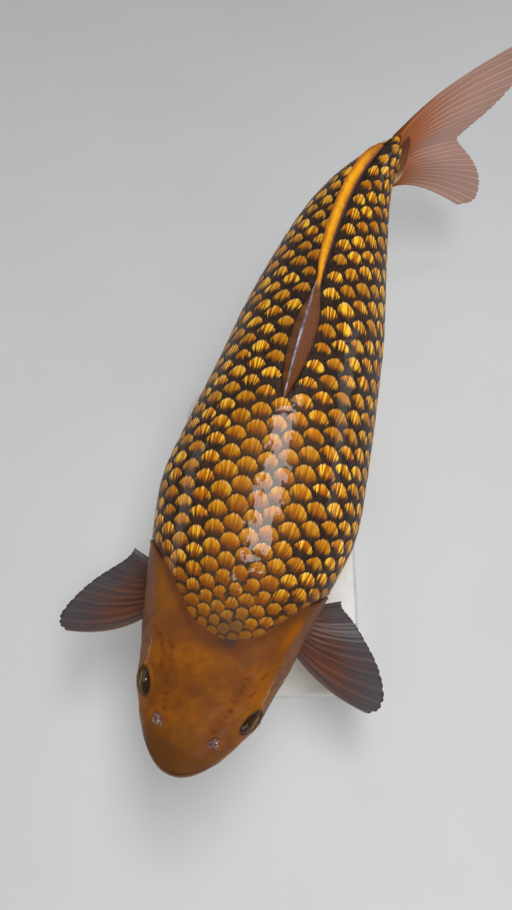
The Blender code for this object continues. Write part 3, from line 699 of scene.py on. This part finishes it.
# ---- scales ---------------------------------------------------------------------------------------
# The length of a scale's row along the body, in t, and the breadth of a series round it, in metres.
PITCH = curve({.15: .0122, .20: .0158, .25: .0200, .32: .0236, .45: .0252, .55: .0298, .70: .0345, .90: .0340,
               1.0: .030})
BREADTH = curve({.15: .0070, .20: .0091, .25: .0116, .35: .0141, .55: .0137, .70: .0120, .85: .0098, .95: .0080,
                 1.0: .0074})
# The breadth of a series as a share of BREADTH: least beside the ridge, growing with each one outward.
LEAST_SHARE, MOST_SHARE = 0.89, 1.24
LEFT_GROWTH, RIGHT_GROWTH = 0.052, 0.036
# How far the series beside the back fin are moved outward, and the fin's half breadth there, in metres.
ASIDE = curve({.44: 0, .50: .0008, .555: .0030, .60: .0022, .66: -.0012, .90: -.0012, .97: 0})
FIN_ROOT = curve({.455: 0, .462: .0012, .50: .0064, .55: .0094, .59: .0086, .63: .0042, .655: .0018, .70: .0014,
                  .96: .0009, .965: 0})
LEAST_T, MOST_T = 0.15, 0.995
WIDEST_T = 0.42
# Where the last scale on the ridge has its middle, just before the back fin, where no scale sits on the
# ridge, and how far from it, in metres, a scale then has to be.
LAST_ON_RIDGE = 0.449
BARE_RIDGE, CLEAR_OF_RIDGE = (0.452, 0.968), 0.0065
SCALE_ACROSS, SCALE_ALONG = 17, 15                  # its grid of points
# Half a scale's width as a share of its breadth, and how far it reaches forward and back, of its pitch.
HALF_WIDTH, FRONT_REACH, REAR_REACH = 0.74, 0.98, 0.62
SIZE_SPREAD, TURN_SPREAD, FULLNESS_SPREAD = 0.035, 0.05, 0.15
# How deep its front is sunk in the skin, how much the rest rises, its dome, its rim's drop and its ribs.
SUNK, RISING, DOME, RIM_DROP, RIB = 0.0015, 0.0021, 0.0006, 0.00045, 0.00005
SCALE_THICKNESS = 0.0005
GILL_DROP = 0.0030           # how far a scale sinks where it would lie over the gill cover
PATCH_SHARE = 0.85           # how much of its own cell on the flattened skin each scale's patch takes up

_girth_t = np.linspace(0.12, 1.0, 177)
_girth_a = np.linspace(0, 180, 361)
_girth_steps = np.linalg.norm(np.diff(body_point(_girth_t[:, None], _girth_a[None]), axis=1), axis=-1)
_girth = np.concatenate([np.zeros((177, 1)), np.cumsum(_girth_steps, axis=1)], axis=1)


def girth_half(t):
    return np.interp(t, _girth_t, _girth[:, -1])


def angle_at(t, s):
    """The angle at the distance s round the body from the ridge of the back, signed as s."""
    t, s = np.broadcast_arrays(t, s)
    full, way = girth_half(t), np.sign(s)
    over = np.abs(s) > full
    s = np.where(over, 2 * full - np.abs(s), np.abs(s))
    row = np.clip((t - _girth_t[0]) / (_girth_t[1] - _girth_t[0]), 0, len(_girth_t) - 1.001)
    low = row.astype(int)
    found = np.empty(s.shape)
    for i in np.unique(low):
        here = low == i
        one, two = (np.interp((s / full)[here], _girth[k] / _girth[k, -1], _girth_a) for k in (i, i + 1))
        found[here] = one + (two - one) * (row - low)[here]
    return way * np.where(over, 360 - found, found)


def series_growth(j):
    return np.where(np.asarray(j) > 0, LEFT_GROWTH, RIGHT_GROWTH)


def series_share(j):
    """The breadth of the series j as a share of BREADTH."""
    return np.minimum(LEAST_SHARE + series_growth(j) * np.abs(j), MOST_SHARE)


def series_at(t, j):
    """How far round the body from the ridge the series j lies at t."""
    growth = series_growth(j)
    growing = np.minimum(np.abs(j), (MOST_SHARE - LEAST_SHARE) / growth)
    shares = LEAST_SHARE * growing + growth / 2 * growing ** 2 + MOST_SHARE * (np.abs(j) - growing)
    return np.sign(j) * (shares * BREADTH(t) + ASIDE(t))


def scale_places():
    """t of each scale's middle and its series, 0 on the ridge. Odd series lie half a row behind even ones."""
    t = np.linspace(LEAST_T, MOST_T, 3000)
    phase = np.concatenate([[0], np.cumsum((1 / PITCH(t[1:]) + 1 / PITCH(t[:-1])) / 2 * np.diff(t))])
    last = np.interp(LAST_ON_RIDGE, t, phase) % 1
    most = int(girth_half(WIDEST_T) / BREADTH(WIDEST_T)) + 3
    places = []
    for j in range(-most, most + 1):
        k = np.arange(int(phase[-1]) + 2) + (0.5 if j % 2 else 0.0) + last - 1
        here = np.interp(k[(k >= 0) & (k <= phase[-1])], phase, t)
        s = series_at(here, j)
        fits = np.abs(s) < girth_half(here) - BREADTH(here) * 0.02
        a = angle_at(here, np.where(fits, s, 0))
        behind = past_gill(here, a) > -0.20 * PITCH(here) * BODY_LENGTH
        clear = (np.abs(s) > CLEAR_OF_RIDGE) | (here < BARE_RIDGE[0]) | (here > BARE_RIDGE[1])
        places += [(value, j) for value in here[fits & behind & clear]]
    return np.array(places).T


def scale_faces():
    """The faces of one scale: its top, the wall under its edge and the cap that closes it below."""
    ring = rim_of(SCALE_ALONG, SCALE_ACROSS)
    after = np.roll(ring, -1)
    lower = SCALE_ALONG * SCALE_ACROSS + np.arange(len(ring))
    lower_after = np.roll(lower, -1)
    return [grid_quads(SCALE_ALONG, SCALE_ACROSS), np.stack([lower, lower_after, after, ring], -1),
            np.stack([np.full(len(ring), lower[-1] + 1), lower_after, lower], -1)]


def scales(surface):
    """All scales, from the head to the tail in four pieces."""
    rng = np.random.default_rng(11)
    t0, j = scale_places()
    count = len(t0)

    def each(values):
        return values[:, None, None]

    pitch, breadth = PITCH(t0) * BODY_LENGTH, BREADTH(t0) * series_share(j)
    u, v = np.meshgrid(np.linspace(-1, 1, SCALE_ACROSS), np.linspace(0, 1, SCALE_ALONG))
    size = 1 + rng.normal(0, SIZE_SPREAD, count)
    front, rear = -FRONT_REACH * pitch, REAR_REACH * pitch * size
    # The outline: nearly straight sides, a rounded free edge with a slight blunt point.
    edge = 1 - np.abs(u) ** 2.3 * 0.50 - 0.04 * np.abs(u)
    x = each(breadth * HALF_WIDTH * size) * (u * (0.80 + 0.20 * np.sin(np.minimum(v * 1.25, 1) * math.pi / 2)))
    y = each(front) + each(rear - front) * (v * (1 - (1 - edge) * v ** 1.5))
    turn = each(rng.normal(0, TURN_SPREAD, count))
    x, y = x - y * turn, y + x * turn
    t = np.clip(each(t0) + y / BODY_LENGTH, 0.13, 0.9995)
    # A scale beside the back fin stops at the fin's root.
    s, way = series_at(t, each(j)) + x, np.sign(each(j))
    s = np.where((way != 0) & (way * s < FIN_ROOT(t)), way * FIN_ROOT(t), s)
    a, a0 = angle_at(t, s), angle_at(t0, series_at(t0, j))
    # Its height over the body: sunk in front, highest behind, thinner at the rim, with faint ribs.
    rim = np.minimum(blend_in(1 - np.abs(u), 0, 0.16), blend_in(1 - v, 0, 0.12))
    top = RISING * v - SUNK + DOME * (1 - u ** 2) * np.sin(np.minimum(v * 1.1, 1) * math.pi)
    top = top - RIM_DROP * (1 - rim) + RIB * np.cos(u * math.pi * 8)
    fullness = 1 + FULLNESS_SPREAD * each(rng.normal(0, 1, count))
    height = top * (0.55 + 0.45 * each(blend_in(past_gill(t0, a0), 0.0, 0.020))) * fullness
    height = height - GILL_DROP * blend_in(past_gill(t, a), 0.0012, -0.0012)
    normal, base = body_normal(t, a), body_point(t, a)
    ring = rim_of(SCALE_ALONG, SCALE_ACROSS)
    upper = (base + normal * height[..., None]).reshape(count, -1, 3)
    under = (base + normal * (height - SCALE_THICKNESS)[..., None]).reshape(count, -1, 3)[:, ring]
    centre = under.mean(1) - normal[:, SCALE_ALONG // 2, SCALE_ACROSS // 2] * 0.0006
    normal = normal.reshape(count, -1, 3)
    points = np.concatenate([upper, under, centre[:, None]], 1)
    film = np.concatenate([normal, normal[:, ring], normal[:, :1]], 1)
    local = np.stack([u, v], -1).reshape(-1, 2)
    local = np.concatenate([local, local[ring], [[0, 0.5]]])
    leaf = triple(local[:, 0], local[:, 1], rng.random(count)[:, None])
    spot = triple(t0, a0 / 180, blend_in(past_gill(t0, a0), -0.002, 0.022))
    spot = np.broadcast_to(spot[:, None], points.shape)
    # Each scale's place on the flattened skin: most of its own cell, so that none overlaps another.
    middle, corner = np.array(unwrap(t0, a0)), np.array(unwrap(0, 0))[:, None]
    cell = (np.array(unwrap(PITCH(t0), 180 * breadth / girth_half(t0))) - corner) * PATCH_SHARE
    flat = middle[..., None] + cell[..., None] * np.array([local[:, 1] - 0.5, local[:, 0] / 2])[:, None]
    flat = triple(*flat, 0)
    n = points.shape[1]
    for number, chosen in enumerate(np.array_split(np.argsort(t0, kind="stable"), 4)):
        starts = each(np.arange(len(chosen)) * n)
        gathered = Gathered()
        faces = [(group + starts).reshape(-1, group.shape[1]) for group in scale_faces()]
        gathered.add(points[chosen], faces, 0, leaf=leaf[chosen], spot=spot[chosen], film=film[chosen],
                     unwrap=flat[chosen])
        gathered.made(f"scales_{number + 1}", [surface], "scaled_skin")


# ---- eyes -----------------------------------------------------------------------------------------
def eyes(surface):
    """Each eye as a clear domed ball whose pupil looks to the side."""
    t, angle = EYE_PLACE
    rows, columns = 49, 72
    polar = np.linspace(0.02, math.pi - 0.02, rows)[:, None]
    turn = np.arange(columns)[None] * 2 * math.pi / columns
    ball = triple(np.sin(polar) * np.cos(turn), np.sin(polar) * np.sin(turn), np.cos(polar))
    ball = ball * [1, 1, EYE_FLATNESS] * EYE_RADIUS
    for word, side in (("left", 1), ("right", -1)):
        outward = body_normal(t, side * angle)
        back, left, up = body_directions(t)
        points = ball @ np.array(Vector(outward).to_track_quat("Z", "Y").to_matrix()).T
        points = points + back * (points @ back)[..., None] * (EYE_STRETCH - 1)
        height = unit(np.cross(outward, back))
        points = points - height * (points @ height)[..., None] * (1 - EYE_NARROWING)
        way = unit(points)
        gaze = unit(left * side * 0.97 + up * 0.02 - back * 0.20)
        off = np.degrees(np.arccos(np.clip(way @ gaze, -1, 1)))
        centre = body_point(t, side * angle) - outward * EYE_SINK
        points = points * (1 + 0.05 * hump(off, 30))[..., None] + centre
        field = triple(off / 90, way @ up, 0).reshape(-1, 3)
        gathered = Gathered()
        gathered.add(np.concatenate([points.reshape(-1, 3), [points[0].mean(0), points[-1].mean(0)]]),
                     closed_faces(rows, columns), 0, gaze=np.concatenate([field, field[:1], field[-1:]]))
        eyeball = gathered.made("eyeball_" + word, [surface], "eye_surface")
        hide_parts("eye_" + word)


# ---- materials ------------------------------------------------------------------------------------
def srgb(r, g, b):
    """A colour given as it looks on a screen, 0 to 255, in linear light."""
    return tuple(((c / 255 + 0.055) / 1.055) ** 2.4 if c > 10 else c / 255 / 12.92 for c in (r, g, b))


class Signal:
    """What a node gives out. It is reckoned with as a number is, each sign making a node."""

    def __init__(self, nodes, socket):
        self.nodes, self.socket = nodes, socket

    def __abs__(self):
        return self.nodes.math("ABSOLUTE", self)


for _sign, _operation in (("add", "ADD"), ("sub", "SUBTRACT"), ("mul", "MULTIPLY"), ("truediv", "DIVIDE"),
                          ("pow", "POWER")):
    setattr(Signal, f"__{_sign}__", lambda one, other, name=_operation: one.nodes.math(name, one, other))
    setattr(Signal, f"__r{_sign}__", lambda one, other, name=_operation: one.nodes.math(name, other, one))


class Nodes:
    """A material's nodes, made with few words. A colour of whole numbers is meant as it looks on a screen."""

    def __init__(self, name, roughness=0.4, metallic=0.0, coat=0.0, coat_roughness=0.1, specular=0.5):
        self.material = bpy.data.materials.new(name)
        self.material.use_nodes = True
        self.tree = self.material.node_tree
        self.shader = self.tree.nodes["Principled BSDF"]
        self.set(self.shader, **{"Roughness": roughness, "Metallic": metallic, "Coat Weight": coat,
                                 "Coat Roughness": coat_roughness, "Specular IOR Level": specular})

    def put(self, value, socket):
        if isinstance(value, Signal):
            self.tree.links.new(value.socket, socket)
        elif isinstance(value, tuple):
            socket.default_value = (*(srgb(*value) if isinstance(value[0], int) else value), 1)
        else:
            socket.default_value = value

    def set(self, node, **values):
        for name, value in values.items():
            self.put(value, node.inputs[name])

    def node(self, kind, *values, output=0, **properties):
        """A node of that kind with its first inputs and its properties set, as the signal it gives out."""
        node = self.tree.nodes.new("ShaderNode" + kind)
        for name, value in properties.items():
            setattr(node, name, value)
        for value, socket in zip(values, node.inputs):
            self.put(value, socket)
        return Signal(self, node.outputs[output])

    def math(self, operation, *values):
        return self.node("Math", *values, operation=operation)

    def step(self, value, low, high):
        """0 at low, 1 at high and smooth between."""
        ends = (1.0, 0.0) if low > high else (0.0, 1.0)
        low, high = sorted((low, high))
        return self.node("MapRange", value, low, high, *ends, interpolation_type="SMOOTHSTEP")

    def mix(self, share, one, two):
        made = self.node("Mix", data_type="RGBA", clamp_factor=True, output=2)
        for value, index in ((share, 0), (one, 6), (two, 7)):
            self.put(value, made.socket.node.inputs[index])
        return made

    def over(self, colour, *layers):
        """The colour with layers over it, each given as its share and its colour."""
        for share, tone in layers:
            colour = self.mix(share, colour, tone)
        return colour

    def attribute(self, name):
        field = self.node("Attribute", attribute_name=name, output="Vector")
        split = self.node("SeparateXYZ", field).socket.node
        return [Signal(self, socket) for socket in split.outputs]

    def vector(self, x, y, z):
        return self.node("CombineXYZ", x, y, z)

    def here(self):
        return self.node("TexCoord", output="Object")

    def texture(self, kind, **values):
        made = self.node(kind)
        self.set(made.socket.node, **values)
        return made

    def noise(self, at, scale, detail=3.0, roughness=0.55):
        return self.texture("TexNoise", Vector=at, Scale=scale, Detail=detail, Roughness=roughness)

    def bump(self, height, distance, strength=1.0, **before):
        return self.texture("Bump", Strength=strength, Distance=distance, Height=height, **before)

    def finish(self, colour, roughness=None, normal=None, coat_normal=None):
        for name, value in (("Base Color", colour), ("Roughness", roughness), ("Normal", normal),
                            ("Coat Normal", coat_normal)):
            if value is not None:
                self.put(value, self.shader.inputs[name])
        return self.material


def skin_material():
    n = Nodes("wet_skin", roughness=0.45, coat=0.06, coat_roughness=0.22, specular=0.07)
    t, a, scaled = n.attribute("place")
    eye, nostril, lip = n.attribute("marks")
    slit, pore, groove = n.attribute("lines")
    edge, seam, cheek = n.attribute("border")
    amber, dull, under = n.attribute("tints")
    angle, at = abs(a), n.here()
    broad, fine = n.noise(at, 38, 4, 0.6), n.noise(at, 240, 4, 0.65)
    colour = n.over(
        n.mix(n.step(broad, 0.36, 0.66), (108, 60, 20), (138, 80, 16)),
        (n.step(fine, 0.50, 0.72) * 0.22, (92, 48, 22)),
        (n.step(n.noise(at, 110, 3, 0.6), 0.50, 0.70) * 0.32, (112, 54, 30)),
        (n.step(n.noise(at, 75, 4, 0.65), 0.46, 0.30) * 0.40, (104, 72, 34)),
        # Warmer towards the sides of the head and over the gill covers.
        (n.step(angle, 0.13, 0.30) * n.step(t, 0.04, 0.10) * 0.75,
         n.mix(n.step(broad, 0.36, 0.64), (122, 66, 8), (146, 84, 8))),
        (n.step(a, 0.14, 0.24) * n.step(t, 0.135, 0.175) * 0.65, (94, 56, 12)),
        (dull * 0.55, (108, 62, 38)),
        (amber * 0.80, n.mix(n.step(a, -0.05, 0.05), (128, 78, 8), (152, 82, 4))))
    # Painted shade for the lower cheek, with lighter blotches in it.
    painted_cheek_shade = n.over(n.mix(n.step(broad, 0.38, 0.62), (104, 72, 60), (118, 78, 52)),
                        (n.step(n.noise(at, 150, 4, 0.6), 0.50, 0.68) * 0.4, (140, 92, 44)))
    border = n.step(edge, 0.0, 1.0) * n.step(angle, 0.42, 0.30)
    pale = n.mix(n.step(fine, 0.40, 0.65), (214, 168, 120), (226, 190, 150))
    nape = n.step(angle, 0.14, 0.03) * (n.step(t, 0.140, 0.158) * n.step(t, 0.190, 0.168))
    # A dark patch in the middle, where the scales begin.
    across, along = (a - 0.018) / 0.030, (t - 0.164) / 0.010
    from_patch = n.math("SQRT", across ** 2.0 + along ** 2.0) + n.noise(at, 260, 3, 0.6) * 0.8
    freckles = n.step(n.texture("TexVoronoi", Vector=at, Scale=620.0), 0.22, 0.10)
    colour = n.over(
        colour,
        # Painted shade over the lower cheek, below its edge.
        (under * (0.45 + n.step(angle, 0.50, 0.36) * 0.32), painted_cheek_shade),
        # Darker over the snout, reddish dark where the scales begin, and paler below.
        (n.step(t, 0.062, 0.022) * 0.72, (80, 46, 14)),
        (border * 0.65, (84, 46, 26)),
        (n.step(angle, 0.52, 0.80) * 0.9, pale),
        (nape * 0.60, (96, 54, 30)),
        (n.step(from_patch, 1.45, 0.85) * 0.85, (66, 50, 44)),
        (n.step(eye, 0.35, 0.9) * 0.60, (92, 66, 14)),
        (nostril * 0.6, (98, 58, 42)),
        (lip * 0.75, (112, 72, 48)),
        (pore * 0.8, (98, 36, 12)),
        # Painted shade in the furrows and round the gill plate.
        (groove * 0.45, (96, 50, 24)),
        # Painted shade in the mouth, the nostril pits and the gill slits.
        (slit * 0.85, (56, 26, 18)),
        # Painted highlight along the ridge of the cheek's edge.
        (cheek * 0.45, (190, 156, 108)),
        # Painted shade in the fold round each eye and along the snout's fold over the lip.
        (seam * 0.80, (44, 22, 12)),
        (freckles * 0.22, (90, 44, 16)),
        # Under the scales.
        (scaled, n.mix(n.step(angle, 0.45, 0.85), (62, 46, 40), (190, 160, 140))))
    bump = n.bump(broad, 0.0012, 0.5, Normal=n.bump(n.noise(at, 900, 3, 0.6), 0.0003, 0.5))
    return n.finish(colour, n.mix(fine, (0.42,) * 3, (0.56,) * 3), bump)


def fin_material():
    n = Nodes("fin_membrane", roughness=0.50, coat=0.15, coat_roughness=0.2, specular=0.2)
    u, ray_at, ray = n.attribute("fin")
    code, across, _ = n.attribute("which")
    # Reddish brown streaks along the rays, greyer towards the tips and beside the front ray.
    streaks = n.noise(n.vector(ray_at * 2.3, u * 1.4, code), 1.0, 3, 0.6)
    grey = n.math("MAXIMUM", n.step(u, 0.50, 0.98), n.step(across, 0.16, 0.06) * 0.6)
    colour = n.over(n.mix(n.step(streaks, 0.38, 0.58), (64, 36, 26), (110, 58, 28)),
                    (grey * 0.80, (76, 74, 80)),
                    (ray * 0.70, n.mix(grey, (58, 32, 24), (52, 50, 54))))
    tail = n.over(n.mix(n.step(u, 0.05, 0.75), (168, 92, 34), (196, 158, 146)), (ray * 0.5, (112, 62, 36)))
    edge = n.step(across, 0.024, 0.0) * n.step(code, 0.5, 0.1)
    colour = n.over(colour, (code, tail), (edge * 0.6, (160, 132, 106)))
    bump = n.bump(n.math("SINE", u * 240) * ray, 0.0001, 0.06)
    return n.finish(colour, None, n.bump(n.noise(n.here(), 700, 2, 0.5), 0.0002, 0.4, Normal=bump))


def dorsal_material():
    n = Nodes("back_fin", roughness=0.45, coat=0.3, coat_roughness=0.10, specular=0.2)
    u, _, ray = n.attribute("fin")
    _, t, _ = n.attribute("which")
    at = n.here()
    # In front brown with a painted glare of wet light along its upper edge, behind gold, brightest in the middle
    # of the band.
    wet_edge_glare = n.mix(n.step(n.noise(at, 130, 4, 0.65), 0.40, 0.62), (98, 90, 98), (168, 168, 186))
    brown = n.over(n.mix(ray, (136, 70, 12), (84, 42, 14)),
                   (n.step(u, 0.22, 0.02), (56, 32, 20)),
                   (n.step(u, 0.88, 0.97), wet_edge_glare))
    gold = n.over(n.mix(n.step(n.noise(at, 160, 4, 0.65), 0.35, 0.65), (196, 112, 12), (232, 156, 24)),
                  (ray * 0.15, (190, 92, 10)),
                  (n.step(u, 0.20, 0.50) * n.step(u, 0.85, 0.60) * 0.65, (255, 186, 20)),
                  (n.step(u, 0.72, 1.0) * 0.65, (168, 88, 8)),
                  # Painted shadow along the root of the gold part.
                  (n.step(u, 0.22, 0.02), (74, 52, 46)))
    colour = n.over(brown, (n.step(t, 0.635, 0.662), gold), (n.step(t, 0.90, 0.955) * 0.8, (146, 84, 34)))
    return n.finish(colour, None, n.bump(n.noise(at, 700, 2, 0.5), 0.0002, 0.4))


def flesh_material():
    n = Nodes("nostril_flesh", roughness=0.45, coat=0.9, coat_roughness=0.05, specular=0.1)
    at = n.here()
    colour = n.mix(n.step(n.noise(at, 420, 3, 0.6), 0.40, 0.62), (74, 42, 34), (124, 86, 78))
    return n.finish(colour, None, n.bump(n.noise(at, 1200, 2, 0.5), 0.0002, 0.5))


def scale_material():
    n = Nodes("gold_scales", roughness=0.45, metallic=0.05, coat=0.42, coat_roughness=0.06, specular=0.08)
    u, v, seed = n.attribute("leaf")
    t, a, behind = n.attribute("spot")
    angle, at = abs(a), n.here()
    nape = n.step(t, 0.275, 0.210)
    ridge = n.step(angle, 0.180, 0.060) * n.step(t, 0.50, 0.40)
    across = abs(u) * (1.0 + nape * 0.03)
    # Streaks along the body, which fan out a little towards the free edge.
    lines = n.noise(n.vector(u / (0.55 + v * 0.6) * 7.0, v * 0.9, seed * 90.0), 1.0, 2, 0.6)
    wobble = n.noise(at, 420, 2, 0.5) - 0.5
    uneven = (n.noise(at, 190, 1, 0.5) - 0.5) * (nape * 1.1)
    # The gold patch fills what shows of a scale but for a dark foot, dark corners and a thin dark rim. Over
    # the nape the dark net runs all round it.
    top = n.step(v - (lines - 0.5) * 0.16 + nape * 0.035, 0.970, 0.885)
    sides = n.step(across + (wobble * 0.25 + uneven), 0.82, 0.58)
    foot_at = v + (seed - 0.5) * 0.10 + wobble * 0.16 - uneven * 0.5 + (lines - 0.5) * 0.45
    foot_at = foot_at - n.step(t, 0.42, 0.56) * 0.03
    corner = across ** 1.6 * (0.34 - n.math("MAXIMUM", nape, ridge) * 0.17)
    foot_at = foot_at - corner + ridge * 0.09
    front_foot, rear_foot = n.step(foot_at, 0.32, 0.48), n.step(foot_at, 0.44, 0.64)
    foot = front_foot * n.step(t, 0.30, 0.19) + rear_foot * n.step(t, 0.19, 0.30)
    # Gold that deepens towards the foot, under the scale's own streaks, brightened with painted highlight; some
    # scales are plainer than others.
    each = n.noise(n.vector(seed, seed, t), 9.0, 1)
    gold = n.over(n.mix(n.step(each, 0.3, 0.7), (208, 124, 6), (232, 152, 12)),
                  (n.step(v, 0.90, 0.52), (150, 76, 6)))
    dim = n.step(lines, 0.49, 0.38) * 0.75
    bright = n.step(lines, 0.52, 0.60) * n.step(v, 0.45, 0.70)
    plain = n.step(n.math("FRACT", seed * 7.0), 0.62, 0.80)
    front = n.step(t, 0.27, 0.19) * (0.52 + plain * 0.40)
    plain = n.math("MAXIMUM", plain * 0.55, n.math("MAXIMUM", ridge * 0.60, front))
    lively = 1.0 - plain
    # A painted highlight along the free edge, broken by the streaks.
    glint = n.step(v, 0.80, 0.92) * n.step(lines, 0.48, 0.58)
    amber = n.mix(n.step(v, 0.45, 0.95), (106, 60, 8), (158, 96, 12))
    middle = n.step(angle, 0.085, 0.030) * n.step(t, 0.225, 0.180)
    # A grey spot in the middle, where the scales begin, as on the skin before it.
    spot = n.step(((a - 0.020) / 0.034) ** 2.0 + ((t - 0.170) / 0.014) ** 2.0, 1.6, 0.5)
    # The first scales behind the head are dull, half sunk in the skin. Low on the sides the dark thins to
    # pink and the gold pales.
    sunk, low = n.step(behind, 0.62, 0.0), n.step(angle, 0.44, 0.68)
    gold = n.over(gold,
                  (dim * lively, (124, 58, 4)),
                  (bright * lively, (255, 208, 48)),
                  (glint * 0.55, (252, 220, 140)),
                  (plain * 0.8, amber),
                  (nape * 0.26, (124, 66, 2)),
                  (middle * 0.50, (120, 84, 40)),
                  (spot * 0.70, (84, 64, 44)),
                  (sunk * 0.72, (118, 70, 20)),
                  (low * 0.80, (232, 196, 140)))
    dark = n.over(n.mix(n.step(n.noise(at, 150, 3, 0.6), 0.4, 0.65), (40, 29, 25), (60, 42, 28)),
                  (nape * 0.7, (42, 33, 21)),
                  (ridge * 0.6, (78, 56, 30)),
                  (middle * 0.60, (58, 54, 46)),
                  (spot * 0.60, (58, 48, 42)),
                  (sunk * 0.80, (78, 46, 22)),
                  (low * 0.85, (190, 150, 132)))
    ribs = n.bump(n.noise(at, 1300, 2, 0.5), 0.0001, 0.4, Normal=n.bump(lines, 0.0004, 0.6))
    # The wet film lies over the scales as a whole, so it follows the body and not each scale.
    film = n.node("Attribute", attribute_name="film", output="Vector")
    n.put(0.14 + n.step(angle, 0.34, 0.14) * 0.30, n.shader.inputs["Coat Weight"])
    return n.finish(n.mix(top * sides * foot, dark, gold), None, ribs,
                    n.bump(n.noise(at, 70, 2, 0.5), 0.0016, 0.5, Normal=film))


def eye_material():
    n = Nodes("eye_clear", roughness=0.4, coat=0.32, coat_roughness=0.04, specular=0.05)
    off = n.attribute("gaze")[0]
    speckle = n.noise(n.here(), 420, 2, 0.5)
    iris = n.mix(n.step(speckle, 0.35, 0.70), (46, 32, 8), (66, 48, 12))
    around = n.mix(n.step(speckle, 0.35, 0.75), (32, 18, 6), (48, 28, 8))
    ring, pupil = n.step(off, 0.27, 0.31) * n.step(off, 0.42, 0.34), n.step(off, 0.30, 0.27)
    return n.finish(n.over(iris, (n.step(off, 0.58, 0.72), around), (ring * 0.8, (136, 110, 26)),
                           (pupil, (0.003, 0.003, 0.004))))


def stand_materials():
    n = Nodes("base_lacquer", roughness=0.35, coat=0.3, coat_roughness=0.2)
    at = n.here()
    grain = n.noise(at, 60, 4, 0.6)
    base = n.finish(n.mix(n.step(grain, 0.35, 0.7), (196, 194, 190), (206, 204, 200)),
                    n.mix(grain, (0.30,) * 3, (0.45,) * 3), n.bump(n.noise(at, 900, 2), 0.0002, 0.2))
    n = Nodes("brushed_steel", roughness=0.3, metallic=1.0)
    lines = n.noise(n.vector(0.0, 0.0, n.attribute("position")[2] * 900.0), 3.0, 2)
    steel = n.finish((196, 197, 200), n.mix(lines, (0.22,) * 3, (0.42,) * 3), n.bump(lines, 0.0001, 0.3))
    return base, steel


# ---- the part -------------------------------------------------------------------------------------
def dress():
    gathered = Gathered()
    for part in (skin_body, paired_fins, dorsal_fin, tail_fin, anal_fin, barbels, nostril_flaps):
        part(gathered)
    skin = gathered.made("koi_skin", [skin_material(), fin_material(), dorsal_material(), flesh_material()],
                         "head_skin")
    flesh = [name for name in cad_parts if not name.startswith(("stand_", "eye_"))]
    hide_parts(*flesh)
    scales(scale_material())
    eyes(eye_material())
    base, steel = stand_materials()
    for name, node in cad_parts.items():
        if name.startswith("stand_"):
            node.data.materials.clear()
            node.data.materials.append(base if name == "stand_base" else steel)


# ---- floor, light and camera ----------------------------------------------------------------------
FLOOR_HALF = 3.0
# Each light's place, the point it aims at, its width, height and power.
SOFTBOXES = {"overhead": ((0.165, -0.05, 1.45), (0.165, -0.049, 0.24), 0.36, 1.06, 13.0),
             "front": ((0.3, -1.7, 0.75), (0, 0, 0.15), 1.3, 0.6, 10),
             "left": ((-1.6, 0.3, 0.60), (0, 0, 0.15), 1.4, 0.5, 4),
             "right": ((1.6, 0.3, 0.60), (0, 0, 0.15), 1.4, 0.5, 4)}
WORLD_COLOUR, WORLD_STRENGTH = (0.93, 0.91, 0.88, 1), 0.22
CAMERA_PLACE, CAMERA_DOWN, CAMERA_LENS = (-0.012, -0.2223, 0.7347), 67.5, 31.65


def softbox(name, place, aim, width, height, power):
    light = bpy.data.lights.new(name, "AREA")
    light.shape = "RECTANGLE"
    light.size, light.size_y, light.energy = width, height, power
    made = bpy.data.objects.new(name, light)
    made.location = place
    made.rotation_euler = (Vector(aim) - Vector(place)).to_track_quat("-Z", "Y").to_euler()
    bpy.context.scene.collection.objects.link(made)
    return made


def stage():
    mesh = bpy.data.meshes.new("floor")
    mesh.from_pydata([(x * FLOOR_HALF, y * FLOOR_HALF, 0) for x, y in ((-1, -1), (1, -1), (1, 1), (-1, 1))],
                     [], [(0, 1, 2, 3)])
    floor = bpy.data.objects.new("floor", mesh)
    bpy.context.scene.collection.objects.link(floor)
    n = Nodes("floor", roughness=0.7)
    floor.data.materials.append(n.finish(n.mix(n.noise(n.here(), 8), (206, 208, 210), (214, 216, 218))))
    for name, values in SOFTBOXES.items():
        softbox(name, *values)
    # Two bright panes that light the eyes alone, for the gleam in them.
    group = bpy.data.collections.new("gleam")
    for name in ("eyeball_left", "eyeball_right"):
        group.objects.link(bpy.data.objects[name])
    for side in (1, -1):
        pane = softbox("pane", (side * 1.1, -0.2, 1.0), (0, -0.2, 0.2), 0.16, 0.26, 5)
        pane.light_linking.receiver_collection = group
    world = bpy.data.worlds.new("studio")
    world.use_nodes = True
    background = world.node_tree.nodes["Background"].inputs
    background["Color"].default_value, background["Strength"].default_value = WORLD_COLOUR, WORLD_STRENGTH
    bpy.context.scene.world = world
    bpy.context.scene.view_settings.view_transform = "Standard"


def camera():
    data = bpy.data.cameras.new("camera")
    data.lens, data.sensor_width, data.sensor_fit = CAMERA_LENS, 36.0, "AUTO"
    data.clip_start, data.clip_end = 0.01, 20
    made = bpy.data.objects.new("camera", data)
    made.location = CAMERA_PLACE
    made.rotation_euler = (math.radians(90 - CAMERA_DOWN), 0, 0)
    bpy.context.scene.collection.objects.link(made)
    bpy.context.scene.camera = made


dress()
stage()
camera()
